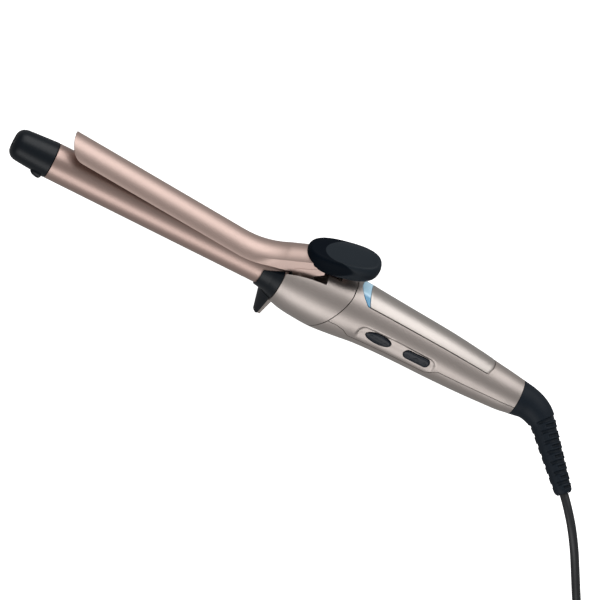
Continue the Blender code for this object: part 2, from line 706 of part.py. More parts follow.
def strain_ring(distance, radius, segments=24):
    forward, sideways, heading = strain_path(distance)
    plane = math.radians(STRAIN_PLANE)
    ring = []
    for i in range(segments):
        a = 2 * math.pi * i / segments
        lateral = radius * math.cos(a)
        depth = radius * math.sin(a)
        x = GAP + forward - lateral * math.sin(heading)
        reach = sideways + lateral * math.cos(heading)
        ring.append((x, -reach * math.sin(plane) + depth * math.cos(plane),
                     -reach * math.cos(plane) - depth * math.sin(plane)))
    return ring


def build_swivel():
    distances = [0.0, 4.4, 8.0, 12.0, 16.0, 20.0, 24.7, 32.0, 40.0, 52.0, 64.0, 66.2, STRAIN_LENGTH]
    rings = [strain_ring(d, smooth(STRAIN_RADII, d, 1)) for d in distances]
    on_swivel("strain_relief", grid_solid(rings, closed=False), "soft_black")
    on_swivel("swivel_core", turned([
        (-21.0, 0.0), (-21.0, 3.0), (-12.0, 3.0), (-12.0, 8.4), (-8.0, 8.4), (-8.0, 6.6), (0.0, 6.6),
        (0.0, 0.0),
    ], 28), "black_plastic")
    for name, x in (("slip_ring_front", -20.0), ("slip_ring_rear", -16.0)):
        on_swivel(name, turned([(x, 3.3), (x, 4.6), (x + 2.4, 4.6), (x + 2.4, 3.3)], 24), "brass")
    for name, x in (("contact_spring_front", -19.4), ("contact_spring_rear", -15.4)):
        low = HANDLE_END + x
        fixed(name, box((low, -6.0, REAR_AXIS_Z + 4.9), (low + 1.2, 5.0, REAR_AXIS_Z + 5.3)), "brass")


def build_leads():
    wire("heater_lead_live", through([
        (157.0, 0.0, 1.5), (170.0, 0.0, 1.2), (190.0, 1.5, -1.0), (206.0, 2.0, -1.0), (221.4, 2.0, -1.0),
    ], 3), 0.7, "lead_red")
    wire("heater_lead_neutral", through([
        (157.0, 0.0, -1.5), (170.0, 0.0, -1.3), (190.0, -1.5, -3.5), (206.0, -2.0, -3.5), (221.4, -2.0, -3.0),
    ], 3), 0.7, "lead_blue")
    wire("mains_lead_live", through([
        (308.6, 3.0, -1.0), (311.0, 3.5, 0.0), (313.5, 4.0, 1.4), (315.6, 4.2, 2.1),
    ], 3), 0.6, "lead_red")
    wire("mains_lead_neutral", through([
        (308.6, -3.0, -1.0), (310.0, -4.2, 0.0), (313.5, -5.2, 1.2), (315.6, -5.4, 2.1),
    ], 3), 0.6, "lead_blue")


# ---- cord, coil and plug, drawn in the table's frame ----

# from the strain relief up and over, down to the table and along it to the coil
CORD_ROUTE = (
    (191.5, -37.6, 29.1), (197.4, -44.7, 30.9), (204.6, -53.9, 31.2), (213.0, -65.2, 27.6),
    (221.5, -76.8, 20.4), (230.0, -88.2, 12.4), (237.2, -97.8, 6.8), (243.2, -105.8, 4.2),
    (245.8, -109.3, 3.6),
)


def on_table(name, bm, slot):
    return add_object(name, bm, slot, None, (0, 0, 0))


def around_coil(radius, degrees, height):
    """A point about the coil's middle."""
    angle = math.radians(degrees)
    return (COIL_CENTRE[0] + radius * math.cos(angle), COIL_CENTRE[1] + radius * math.sin(angle), height)


def tail_point(along, side=0.0, height=0.0):
    """A point along the straight line on which the cord leaves the coil for the plug."""
    start = around_coil(COIL_RADII[-1] + side, TAIL_ANGLE, height)
    angle = math.radians(TAIL_ANGLE)
    return (start[0] + along * math.sin(angle), start[1] - along * math.cos(angle), height)


def coil_bounds():
    """Inner and outer radius, bottom and top of the bundle of turns."""
    inner = COIL_RADII[0] - CORD_RADIUS
    outer = COIL_RADII[-1] + CORD_RADIUS
    return inner, outer, COIL_LIFT, COIL_LIFT + 2 * CORD_RADIUS + COIL_PITCH


def build_cord():
    wire("cord", through(CORD_ROUTE, 2), CORD_RADIUS, "soft_black", parent=None, resolution=2)
    inner, outer, low, high = coil_bounds()
    profile = ((inner + 1.5, low), (outer - 1.5, low), (outer, low + 1.5), (outer, high - 1.5),
               (outer - 1.5, high), (inner + 1.5, high), (inner, high - 1.5), (inner, low + 1.5))
    rings = [[around_coil(r, 360 * i / 40, z) for r, z in profile] for i in range(40)]
    on_table("cord_coil", grid_solid(rings, closed=True), "soft_black")
    tail = [tail_point(along, 0.0, height) for along, height in
            ((22.8, 8.7), (27.0, 8.2), (31.0, 7.5), (35.7, PLUG_CENTRE_Z))]
    wire("cord_tail", tail, CORD_RADIUS, "soft_black", parent=None, resolution=2)


def build_tie():
    """A flat band around the bundle of turns."""
    inner, outer, low, high = coil_bounds()
    rings = []
    for sweep in (-4.0, 4.0):
        band = []
        for margin in (GAP, COIL_LIFT - 0.05):
            loop = [(inner - margin, low - margin), (outer + margin, low - margin),
                    (outer + margin, high + margin), (inner - margin, high + margin)]
            band.append([around_coil(r, TIE_ANGLE + sweep * 32.0 / r, z) for r, z in loop])
        rings.append(band)
    near, far = rings
    on_table("coil_tie", grid_solid([near[0], near[1], far[1], far[0]], closed=True), "soft_black")


def plug_ring(along, half_width, half_height, segments=20):
    """A rounded cross-section of the plug."""
    ring = []
    for i in range(segments):
        angle = 2 * math.pi * i / segments
        across = math.copysign(abs(math.cos(angle)) ** 0.7, math.cos(angle)) * half_width
        up = math.copysign(abs(math.sin(angle)) ** 0.7, math.sin(angle)) * half_height
        ring.append(tail_point(along, across, PLUG_CENTRE_Z + up))
    return ring


def build_plug():
    sections = ((36.0, 4.2, 4.2), (50.0, 5.2, 5.0), (56.0, 10.0, 6.4), (63.0, 17.0, 6.8),
                (77.0, 17.4, 6.8), (78.5, 16.6, 6.2))
    body = on_table("plug_body", grid_solid([plug_ring(*s) for s in sections], closed=False), "soft_black")
    for name, side in (("plug_pin_live", 9.3), ("plug_pin_neutral", -9.3)):
        for shape, radius, start in ((None, 2.3, 70.0), (name, 2.0, 70.3)):
            rings = []
            for along in (start, 97.0):
                turn = [2 * math.pi * i / 12 for i in range(12)]
                rings.append([
                    tail_point(along, side + radius * math.cos(a), PLUG_CENTRE_Z + radius * math.sin(a))
                    for a in turn
                ])
            pin = grid_solid(rings, closed=False)
            if shape:
                on_table(shape, pin, "brass")
            else:
                boolean(body, cutter(pin, None))


build_barrel()
build_heater()
build_front()
build_handle()
build_electronics()
build_buttons()
build_clip()
build_hinge()
build_swivel()
build_leads()
build_cord()
build_tie()
build_plug()
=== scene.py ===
"""Looks of the corded curling iron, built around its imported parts.

The iron's own frame is used for every piece of it, in millimetres: +X runs from the barrel's tip to
the cord, +Z points to the thumb lever and -Y to the buttons. The cord and plug lie in the table's
frame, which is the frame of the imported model.
"""

import json
import math

import bmesh
import bpy
from mathutils import Matrix, Vector


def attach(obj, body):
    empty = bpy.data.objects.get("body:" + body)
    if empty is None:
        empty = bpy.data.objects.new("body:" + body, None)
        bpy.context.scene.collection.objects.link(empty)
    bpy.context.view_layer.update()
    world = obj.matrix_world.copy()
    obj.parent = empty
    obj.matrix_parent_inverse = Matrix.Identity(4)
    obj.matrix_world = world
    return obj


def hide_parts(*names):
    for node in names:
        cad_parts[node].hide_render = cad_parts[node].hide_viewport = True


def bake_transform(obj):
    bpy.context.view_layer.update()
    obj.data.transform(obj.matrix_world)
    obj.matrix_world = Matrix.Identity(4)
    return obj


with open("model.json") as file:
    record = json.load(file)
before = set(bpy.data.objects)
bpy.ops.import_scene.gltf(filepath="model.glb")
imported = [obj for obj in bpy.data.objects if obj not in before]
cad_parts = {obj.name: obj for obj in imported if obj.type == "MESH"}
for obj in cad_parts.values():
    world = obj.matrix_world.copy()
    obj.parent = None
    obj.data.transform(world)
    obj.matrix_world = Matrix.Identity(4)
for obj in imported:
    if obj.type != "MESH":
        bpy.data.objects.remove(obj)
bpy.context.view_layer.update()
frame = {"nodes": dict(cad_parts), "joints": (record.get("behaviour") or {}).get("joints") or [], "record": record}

MM = 0.001
GAP = 0.3                       # clearance between touching pieces
SEAM_WIDTH = 0.6                # the visible joint between the housing and the handle
SHELL_GAP = 0.4                 # the visible joint between the two handle shells

# ---- driving dimensions, in millimetres and degrees ----
BARREL_RADIUS = 11.0
BARREL_WALL = 1.0
TIP_CAP_LENGTH = 25.0
BARREL_END = 178.0
CLIP_THICKNESS = 0.75
CLIP_TIP = 29.0
CLIP_ROUND = 11.0               # length of the clip's rounded end
CLIP_HALF_ANGLE = 72.0
CREASE_ANGLE = 52.0
PIVOT = (184.0, 0.0, 10.0)
CLIP_OPEN = 4.4
PAD_LENGTH = 44.8
PAD_SHIFT = -0.8                # the outline's middle along the pad, from the middle of its fastening
PAD_WIDTH = 26.0
PAD_TILT = 18.5
PAD_CENTRE = (201.4, 0.0, 31.9)
PAD_OVAL_CENTRE = 206.0         # the pad's paler oval, partly its insert's own tone and partly painted light on the top face, in the iron's own x
PAD_OVAL_HALF = (17.8, 12.9)
SHELL_WALL = 2.4
HANDLE_START = 190.0
HANDLE_END = 335.6
PANEL_START = 229.2
PANEL_STOP = 311.2
PANEL_HALF_ANGLE = 39.0
PANEL_BOW = -2.4                # the middle of the panel's front end, against its corners
LENS_BOW = -7.6                 # the middle of the display lens's front edge, against its two points
LENS_REFLECTION_FADE = (-7.2, -5.8)        # from the display's deep blue to the pale blue of a painted reflection, in the iron's own y
POWER_X = 242.6
POWER_SIZE = (16.6, 6.6)
ROCKER_X = 268.4
ROCKER_SIZE = (17.0, 5.6)
SHELL_SCREWS_X = (238.0, 300.0)
REAR_AXIS_Z = -3.0
SWIVEL_TURN = -17.0
STRAIN_LEAD = 4.4
STRAIN_BEND = 49.3
STRAIN_BEND_RADIUS = 23.6
STRAIN_LENGTH = 67.3
STRAIN_PLANE = 32.4

BODY_SECTIONS = (
    (175.6, 16.2, -0.2), (183.0, 18.1, -0.1), (192.0, 19.4, 0.2), (204.0, 20.1, 0.4),
    (218.0, 19.2, 0.7), (233.0, 17.7, 0.9), (254.0, 16.6, 0.4), (283.0, 15.6, -0.8),
    (304.0, 14.3, -1.9), (318.0, 13.1, -2.6), (328.0, 12.2, -3.0), (HANDLE_END, 11.1, -3.0),
)

# ---- the free cord, in millimetres ----
CORD_RADIUS = 2.7
COIL_CENTRE = (225.4, -151.7)
COIL_PITCH = 5.6
COIL_RADII = (25.0, 30.6, 36.2, 41.8)
COIL_LIFT = 0.9
COIL_START_ANGLE = math.degrees(math.atan2(0.6, 0.8))
TIE_ANGLE = 150.0
TIE_HALF_WIDTH = 3.6
TAIL_ANGLE = 250.0
PLUG_CENTRE_Z = 6.9
PLUG_START = 36.0
PLUG_STOP = 78.5
PRONG_SIDE = 9.3
CORD_ROUTE = (
    (191.5, -37.6, 29.1), (197.4, -44.7, 30.9), (204.6, -53.9, 31.2), (213.0, -65.2, 27.6),
    (221.5, -76.8, 20.4), (230.0, -88.2, 12.4), (237.2, -97.8, 6.8), (243.2, -105.8, 4.2),
    (245.8, -109.3, 3.6),
)
ROUTE_STEPS = 4                 # points for each stretch of the route
TAIL_LEVELS = (                 # distance along the tail, height
    (6.0, 9.2), (12.0, 9.1), (18.0, 8.9), (24.0, 8.5), (30.0, 7.7), (35.8, PLUG_CENTRE_Z),
)

# ---- the iron's own frame, from the joints ----
joints = {joint["name"]: joint for joint in frame["joints"]}
ALONG = Vector(joints["cord_swivel"]["axis"])
ACROSS = Vector(joints["clip_hinge"]["axis"])
LEVER_UP = ALONG.cross(ACROSS)
ORIGIN = Vector(joints["cord_swivel"]["pos_m"]) - ALONG * HANDLE_END * MM - LEVER_UP * REAR_AXIS_Z * MM
IRON = Matrix.Translation(ORIGIN) @ Matrix((ALONG, ACROSS, LEVER_UP)).transposed().to_4x4()
CLIP_TURN = (
    Matrix.Translation(Vector(PIVOT) * MM)
    @ Matrix.Rotation(math.radians(CLIP_OPEN), 4, "Y")
    @ Matrix.Translation(-Vector(PIVOT) * MM)
)
SWIVEL = (
    IRON
    @ Matrix.Translation((HANDLE_END * MM, 0, REAR_AXIS_Z * MM))
    @ Matrix.Rotation(math.radians(SWIVEL_TURN), 4, "X")
)
TABLE = Matrix.Identity(4)


# ---- camera, straight above the table and a little towards the tip ----

VIEW_DISTANCE = 2.4
VIEW_WIDTH = 0.3528
VIEW_LEAN = 10.0
VIEW_ROLL = 26.5
VIEW_CENTRE = Vector((-0.0017, -0.0043, 0.0200))


def make_camera():
    data = bpy.data.cameras.new("camera")
    data.sensor_width = 36.0
    data.lens = data.sensor_width * VIEW_DISTANCE / VIEW_WIDTH
    camera = bpy.data.objects.new("camera", data)
    bpy.context.collection.objects.link(camera)
    lean = math.radians(VIEW_LEAN)
    roll = math.radians(VIEW_ROLL)
    back = Vector((-math.sin(lean), 0.0, math.cos(lean)))
    level = Vector((math.cos(lean), 0.0, math.sin(lean)))
    side = Vector((0.0, 1.0, 0.0))
    right = level * math.cos(roll) + side * math.sin(roll)
    up = side * math.cos(roll) - level * math.sin(roll)
    turn = Matrix((right, up, back)).transposed().to_4x4()
    camera.matrix_world = Matrix.Translation(VIEW_CENTRE + back * VIEW_DISTANCE) @ turn
    bpy.context.scene.camera = camera


make_camera()


# ---- meshes ----

SHARP_ANGLE = 32.0              # an edge that turns more than this is shaded sharp, in degrees


def shade(mesh):
    mesh.shade_smooth()
    mesh.set_sharp_from_angle(angle=math.radians(SHARP_ANGLE))


def mesh_object(name, bm, place=IRON):
    """An object from a bmesh in millimetres, placed by a matrix in metres."""
    bmesh.ops.recalc_face_normals(bm, faces=bm.faces)
    bmesh.ops.scale(bm, verts=bm.verts, vec=(MM, MM, MM))
    mesh = bpy.data.meshes.new(name)
    bm.to_mesh(mesh)
    bm.free()
    shade(mesh)
    made = bpy.data.objects.new(name, mesh)
    bpy.context.collection.objects.link(made)
    made.matrix_world = place
    return made


def tool_shape(bm, place=IRON):
    """A shape that is cut from another piece or joined to it."""
    return mesh_object("tool", bm, place)


def finish_modifiers(target):
    """Turns an object's modifiers into its mesh."""
    bpy.context.view_layer.update()
    evaluated = target.evaluated_get(bpy.context.evaluated_depsgraph_get())
    mesh = bpy.data.meshes.new_from_object(evaluated)
    target.modifiers.clear()
    target.data = mesh
    shade(mesh)


def combine(target, operation, *tools):
    """Cuts or joins objects into the target and removes them."""
    for tool in tools:
        modifier = target.modifiers.new("boolean", "BOOLEAN")
        modifier.operation = operation
        modifier.object = tool
        modifier.solver = "EXACT"
    finish_modifiers(target)
    for tool in tools:
        bpy.data.objects.remove(tool, do_unlink=True)


def soften(target, width, angle=40.0):
    """Rounds the sharp edges of an object."""
    modifier = target.modifiers.new("edges", "BEVEL")
    modifier.width = width * MM
    modifier.segments = 2
    modifier.limit_method = "ANGLE"
    modifier.angle_limit = math.radians(angle)
    finish_modifiers(target)


def smooth(table, x, column):
    """Reads one column of a table at x through a cubic with finite-difference slopes."""
    last = len(table) - 1
    if x <= table[0][0]:
        return table[0][column]
    if x >= table[last][0]:
        return table[last][column]
    index = next(i for i in range(last) if x <= table[i + 1][0])

    def slope(i):
        low = max(i - 1, 0)
        high = min(i + 1, last)
        return (table[high][column] - table[low][column]) / (table[high][0] - table[low][0])

    x0 = table[index][0]
    span = table[index + 1][0] - x0
    t = (x - x0) / span
    a = table[index][column]
    b = table[index + 1][column]
    ease = t * t * (3 - 2 * t)
    rise = slope(index) * t * (1 - t) ** 2 - slope(index + 1) * t * t * (1 - t)
    return a + (b - a) * ease + rise * span


def ramp(x, start, stop):
    """0 before start, 1 after stop, smooth between them."""
    t = min(max((x - start) / (stop - start), 0.0), 1.0)
    return t * t * (3 - 2 * t)


def spaced(start, stop, count):
    """Evenly spaced numbers from start to stop."""
    return [start + (stop - start) * i / (count - 1) for i in range(count)]


def circle(count):
    """Evenly spaced angles once around."""
    return [2 * math.pi * i / count for i in range(count)]


def grid_solid(rings, closed=False):
    """Joins rings of equal length; closed joins the last ring to the first, else the ends are capped."""
    bm = bmesh.new()
    rows = [[bm.verts.new(point) for point in ring] for ring in rings]
    count = len(rows[0])
    pairs = list(zip(rows, rows[1:]))
    if closed:
        pairs.append((rows[-1], rows[0]))
    for first, second in pairs:
        for i in range(count):
            j = (i + 1) % count
            bm.faces.new((first[i], first[j], second[j], second[i]))
    if not closed:
        bm.faces.new(rows[0])
        bm.faces.new(rows[-1])
    return bm


def ring_points(x, radius, height, segments):
    """A circle across the X axis, its middle at a height above it."""
    return [(x, radius * math.sin(a), height + radius * math.cos(a)) for a in circle(segments)]


def filleted(outline, radius, steps=4):
    """Rounds each corner of a closed outline by a short curve."""
    made = []
    count = len(outline)
    for i in range(count):
        corner = Vector(outline[i])
        before = Vector(outline[i - 1]) - corner
        after = Vector(outline[(i + 1) % count]) - corner
        reach = min(radius, before.length * 0.45, after.length * 0.45)
        start = corner + before.normalized() * reach
        stop = corner + after.normalized() * reach
        for t in spaced(0.0, 1.0, steps):
            made.append(tuple(start * (1 - t) ** 2 + corner * 2 * t * (1 - t) + stop * t * t))
    return made


def turned(profile, segments=96, fillet=0.25):
    """Spins a profile of (x, radius) about the X axis: a closed loop, or solid if it starts there."""
    solid = profile[0][1] == 0.0
    if fillet and not solid:
        profile = filleted(profile, fillet)
    rings = [ring_points(x, radius, 0.0, segments) for x, radius in profile if radius > 0.0]
    return grid_solid(rings, closed=not solid)


def prism(outline, low, high, axis="Y"):
    """Extrudes an outline; along Y it is given in (x, z), along Z in (x, y)."""
    rings = []
    for w in (low, high):
        rings.append([(u, w, v) if axis == "Y" else (u, v, w) for u, v in outline])
    return grid_solid(rings)


def box(low, high):
    outline = [(low[0], low[2]), (high[0], low[2]), (high[0], high[2]), (low[0], high[2])]
    return prism(outline, low[1], high[1])


def pill(length, width, segments=20):
    """The outline of a bar with round ends."""
    half = (length - width) / 2
    right = [math.pi * (i / segments - 0.5) for i in range(segments + 1)]
    points = [(half + width / 2 * math.cos(a), width / 2 * math.sin(a)) for a in right]
    return points + [(-u, -v) for u, v in points]


def oval(length, width, segments=56):
    return [(length / 2 * math.cos(a), width / 2 * math.sin(a)) for a in circle(segments)]


def moved(outline, du, dv):
    return [(u + du, v + dv) for u, v in outline]


def through(points, steps):
    """Points of a Catmull-Rom curve through the given points, a number of steps for each stretch."""
    made = []
    padded = [points[0], *points, points[-1]]
    for i in range(len(points) - 1):
        p0, p1, p2, p3 = (Vector(p) for p in padded[i:i + 4])
        for k in range(steps):
            t = k / steps
            made.append(
                0.5 * (2 * p1 + (p2 - p0) * t + (2 * p0 - 5 * p1 + 4 * p2 - p3) * t * t
                       + (3 * p1 - p0 - 3 * p2 + p3) * t ** 3)
            )
    made.append(Vector(points[-1]))
    return made


def tube(points, radius, segments):
    """A round tube that follows points, with flat ends and no twist."""
    rings = []
    side = None
    for i, point in enumerate(points):
        before = Vector(points[max(i - 1, 0)])
        after = Vector(points[min(i + 1, len(points) - 1)])
        ahead = (after - before).normalized()
        if side is None:
            side = ahead.orthogonal().normalized()
        side = (side - ahead * side.dot(ahead)).normalized()
        other = ahead.cross(side)
        rings.append([
            Vector(point) + (side * math.cos(a) + other * math.sin(a)) * radius for a in circle(segments)
        ])
    return grid_solid(rings)


def body_radius(x):
    return smooth(BODY_SECTIONS, x, 1)


def body_centre(x):
    return smooth(BODY_SECTIONS, x, 2)


# ---- materials ----

MATERIALS = {}
ROUGHNESS_SPREAD = 0.05
GRAIN_DEPTH = 0.00002           # metres
FLAKE_SCALE = 3500.0
FLAKE_DEPTH = 0.00001
FLAKE_ROUGHNESS_SPREAD = 0.04
LACQUER_IOR = 2.3


def new_material(name):
    made = bpy.data.materials.new(name)
    made.use_nodes = True
    MATERIALS[name] = made
    return made.node_tree, made.node_tree.nodes["Principled BSDF"]


def noise_node(tree, scale, detail=2.0, stretch=(1, 1, 1)):
    """Noise in the object's own coordinates; a scale of 1000 makes features about a millimetre wide."""
    place = tree.nodes.new("ShaderNodeTexCoord")
    mapping = tree.nodes.new("ShaderNodeMapping")
    mapping.inputs["Scale"].default_value = stretch
    made = tree.nodes.new("ShaderNodeTexNoise")
    made.inputs["Scale"].default_value = scale
    made.inputs["Detail"].default_value = detail
    tree.links.new(place.outputs["Object"], mapping.inputs["Vector"])
    tree.links.new(mapping.outputs["Vector"], made.inputs["Vector"])
    return made


def spread(tree, source, low, high, socket):
    """Feeds a value into a socket as a range, reached between 0.3 and 0.7 of the value."""
    made = tree.nodes.new("ShaderNodeMapRange")
    made.inputs["From Min"].default_value = 0.3
    made.inputs["From Max"].default_value = 0.7
    made.inputs["To Min"].default_value = low
    made.inputs["To Max"].default_value = high
    tree.links.new(source, made.inputs["Value"])
    tree.links.new(made.outputs["Result"], socket)


def tinted(tree, source, color, share, socket):
    """Varies a colour by a share of itself, following a 0 to 1 value."""
    mix = tree.nodes.new("ShaderNodeMix")
    mix.data_type = "RGBA"
    mix.inputs["A"].default_value = (*[c * (1 - share) for c in color], 1)
    mix.inputs["B"].default_value = (*[min(c * (1 + share), 1) for c in color], 1)
    tree.links.new(source, mix.inputs["Factor"])
    tree.links.new(mix.outputs["Result"], socket)


def bumped(tree, source, distance, strength, shader):
    """Gives a shader relief from a value; the distance is in metres."""
    bump = tree.nodes.new("ShaderNodeBump")
    bump.inputs["Distance"].default_value = distance
    bump.inputs["Strength"].default_value = strength
    tree.links.new(source, bump.inputs["Height"])
    tree.links.new(bump.outputs["Normal"], shader.inputs["Normal"])


def grained(name, color, roughness, metallic=0.0, grain=1500.0, strength=0.3, variation=0.06,
            coat=0.0, stretch=(1, 1, 1), specular=0.5):
    """A finish with a fine grain in colour, roughness and relief."""
    tree, shader = new_material(name)
    shader.inputs["Metallic"].default_value = metallic
    shader.inputs["Specular IOR Level"].default_value = specular
    shader.inputs["Coat Weight"].default_value = coat
    shader.inputs["Coat Roughness"].default_value = 0.1
    fine = noise_node(tree, grain, 3.0, stretch)
    broad = noise_node(tree, grain / 40, 2.0, stretch)
    tinted(tree, broad.outputs["Fac"], color, variation, shader.inputs["Base Color"])
    smoothest = roughness - ROUGHNESS_SPREAD
    roughest = roughness + ROUGHNESS_SPREAD
    spread(tree, fine.outputs["Fac"], smoothest, roughest, shader.inputs["Roughness"])
    bumped(tree, fine.outputs["Fac"], GRAIN_DEPTH, strength, shader)


def flaked(name, color, roughness, metallic, flake):
    """A metallic lacquer: small flakes of differing brightness and tilt, under a satin coat."""
    tree, shader = new_material(name)
    shader.inputs["Metallic"].default_value = metallic
    shader.inputs["Coat Weight"].default_value = 1.0
    shader.inputs["Coat Roughness"].default_value = roughness
    shader.inputs["Coat IOR"].default_value = LACQUER_IOR
    cells = tree.nodes.new("ShaderNodeTexVoronoi")
    cells.inputs["Scale"].default_value = FLAKE_SCALE
    place = tree.nodes.new("ShaderNodeTexCoord")
    tree.links.new(place.outputs["Object"], cells.inputs["Vector"])
    split = tree.nodes.new("ShaderNodeSeparateColor")
    tree.links.new(cells.outputs["Color"], split.inputs["Color"])
    tinted(tree, split.outputs["Red"], color, flake * 0.5, shader.inputs["Base Color"])
    smoothest = roughness - FLAKE_ROUGHNESS_SPREAD
    roughest = roughness + FLAKE_ROUGHNESS_SPREAD
    spread(tree, split.outputs["Green"], smoothest, roughest, shader.inputs["Roughness"])
    bumped(tree, split.outputs["Blue"], FLAKE_DEPTH, flake, shader)


def make_materials():
    flaked("rose_gold_barrel", (0.40, 0.24, 0.19), 0.44, 0.85, 0.03)
    flaked("rose_gold_clip", (0.47, 0.31, 0.255), 0.50, 0.9, 0.03)
    flaked("champagne", (0.40, 0.335, 0.30), 0.45, 0.85, 0.04)
    flaked("champagne_gloss", (0.42, 0.37, 0.335), 0.40, 0.85, 0.02)
    grained("black_plastic", (0.002, 0.005, 0.009), 0.38, grain=1800, specular=0.3)
    grained("soft_black", (0.004, 0.009, 0.016), 0.55, grain=2600, strength=0.5, specular=0.25)
    grained("button_black", (0.006, 0.010, 0.018), 0.30, grain=900, strength=0.5, variation=0.5,
            specular=0.3)
    grained("display_module", (0.2, 0.4, 0.55), 0.2)
    grained("steel", (0.6, 0.6, 0.6), 0.28, metallic=1.0, grain=900, stretch=(1, 6, 6))
    grained("brass", (0.75, 0.6, 0.3), 0.25, metallic=1.0, grain=900, stretch=(1, 5, 5))
    grained("aluminium", (0.75, 0.75, 0.76), 0.35, metallic=1.0, grain=900, stretch=(0.2, 5, 5))
    grained("ceramic", (0.85, 0.83, 0.78), 0.7, grain=1600, strength=0.5)
    grained("white_plastic", (0.8, 0.8, 0.78), 0.5)
    grained("circuit_green", (0.05, 0.25, 0.12), 0.35, grain=700, coat=0.4)
    grained("component_black", (0.02, 0.02, 0.022), 0.5)
    grained("lead_red", (0.6, 0.05, 0.04), 0.45)
    grained("lead_blue", (0.05, 0.12, 0.5), 0.45)
    grained("cord_black", (0.014, 0.015, 0.017), 0.45, grain=1600)
    display_material()
    pad_material()


def display_material():
    """A lit window, deeper blue towards the buttons; the pale blue above is a painted reflection, and it glows
    with the rest.
    """
    tree, shader = new_material("display_blue")
    shader.inputs["Roughness"].default_value = 0.12
    shader.inputs["Coat Weight"].default_value = 0.5
    shader.inputs["Emission Strength"].default_value = 0.25
    place = tree.nodes.new("ShaderNodeTexCoord")
    split = tree.nodes.new("ShaderNodeSeparateXYZ")
    tree.links.new(place.outputs["Object"], split.inputs["Vector"])
    reflection_fade = tree.nodes.new("ShaderNodeMapRange")
    reflection_fade.inputs["From Min"].default_value = LENS_REFLECTION_FADE[0] * MM
    reflection_fade.inputs["From Max"].default_value = LENS_REFLECTION_FADE[1] * MM
    tree.links.new(split.outputs["Y"], reflection_fade.inputs["Value"])
    mix = tree.nodes.new("ShaderNodeMix")
    mix.data_type = "RGBA"
    mix.inputs["A"].default_value = (0.045, 0.26, 0.46, 1)
    # painted reflection: the pale blue on the window's upper side, which the emission makes glow too
    mix.inputs["B"].default_value = (0.45, 0.70, 0.86, 1)
    tree.links.new(reflection_fade.outputs["Result"], mix.inputs["Factor"])
    tree.links.new(mix.outputs["Result"], shader.inputs["Base Color"])
    tree.links.new(mix.outputs["Result"], shader.inputs["Emission Color"])
    fine = noise_node(tree, 900.0)
    bumped(tree, fine.outputs["Fac"], GRAIN_DEPTH / 2, 0.1, shader)


def pad_material():
    """Soft rubber: a near-black body with a paler matt oval on its top, set towards the rear; the oval is partly
    the insert's own tone and partly painted light where the top faces the lamps.
    """
    tree, shader = new_material("pad_rubber")
    shader.inputs["Roughness"].default_value = 0.58
    along, across = (1 / (half * MM) for half in PAD_OVAL_HALF)
    place = tree.nodes.new("ShaderNodeTexCoord")
    oval_space = tree.nodes.new("ShaderNodeMapping")
    oval_space.inputs["Location"].default_value = (-PAD_OVAL_CENTRE * MM * along, 0, 0)
    oval_space.inputs["Scale"].default_value = (along, across, 0)
    tree.links.new(place.outputs["Object"], oval_space.inputs["Vector"])
    reach = tree.nodes.new("ShaderNodeVectorMath")
    reach.operation = "LENGTH"
    tree.links.new(oval_space.outputs["Vector"], reach.inputs[0])
    inside = tree.nodes.new("ShaderNodeMapRange")
    inside.inputs["From Min"].default_value = 1.0
    inside.inputs["From Max"].default_value = 0.97
    tree.links.new(reach.outputs["Value"], inside.inputs["Value"])
    mix = tree.nodes.new("ShaderNodeMix")
    mix.data_type = "RGBA"
    mix.inputs["A"].default_value = (0.0015, 0.004, 0.008, 1)
    # the paler oval: partly the insert's own tone, partly painted light on the top face
    mix.inputs["B"].default_value = (0.006, 0.012, 0.019, 1)
    tree.links.new(inside.outputs["Result"], mix.inputs["Factor"])
    tree.links.new(mix.outputs["Result"], shader.inputs["Base Color"])
    spread(tree, inside.outputs["Result"], 0.06, 0.28, shader.inputs["Specular IOR Level"])
    fine = noise_node(tree, 2600.0)
    bumped(tree, fine.outputs["Fac"], GRAIN_DEPTH, 0.5, shader)


def dress(piece, body, slot, *nodes, finish=None, own_axes=False):
    """Gives a new piece its material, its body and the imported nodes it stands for.

    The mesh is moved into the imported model's axes, unless its material is drawn in the iron's own.
    """
    if not own_axes:
        piece.data.transform(piece.matrix_world)
        piece.matrix_world = Matrix.Identity(4)
    piece.data.materials.clear()
    piece.data.materials.append(MATERIALS[finish or slot])
    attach(piece, body)
    if nodes:
        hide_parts(*nodes)
    return piece


make_materials()


# ---- cord, coil, tie and plug ----

def around_coil(radius, degrees, height):
    """A point about the coil's middle."""
    angle = math.radians(degrees)
    return (COIL_CENTRE[0] + radius * math.cos(angle), COIL_CENTRE[1] + radius * math.sin(angle), height)


def tail_point(along, side, height):
    """A point along the straight line on which the cord leaves the coil for the plug."""
    start = around_coil(COIL_RADII[-1] + side, TAIL_ANGLE, height)
    angle = math.radians(TAIL_ANGLE)
    return (start[0] + along * math.sin(angle), start[1] - along * math.cos(angle), height)


def coil_turns():
    """The turns of the coil, clockwise: inwards on the table, then outwards on top."""
    columns = (*COIL_RADII[::-1], *COIL_RADII)
    low = COIL_LIFT + CORD_RADIUS
    total = 360 * (len(columns) - 1) + COIL_START_ANGLE - (TAIL_ANGLE - 360)
    points = []
    for angle in spaced(0.0, total, int(total / 9)):
        turn = int(angle // 360)
        within = angle - 360 * turn
        here = columns[turn]
        after = columns[min(turn + 1, len(columns) - 1)]
        radius = here + (after - here) * ramp(within, 285.0, 360.0)
        climb = 0.0
        if turn == len(COIL_RADII) - 1:
            climb = ramp(within, 240.0, 360.0)
        elif turn >= len(COIL_RADII):
            climb = 1.0
        points.append(Vector(around_coil(radius, COIL_START_ANGLE - angle, low + COIL_PITCH * climb)))
    return points


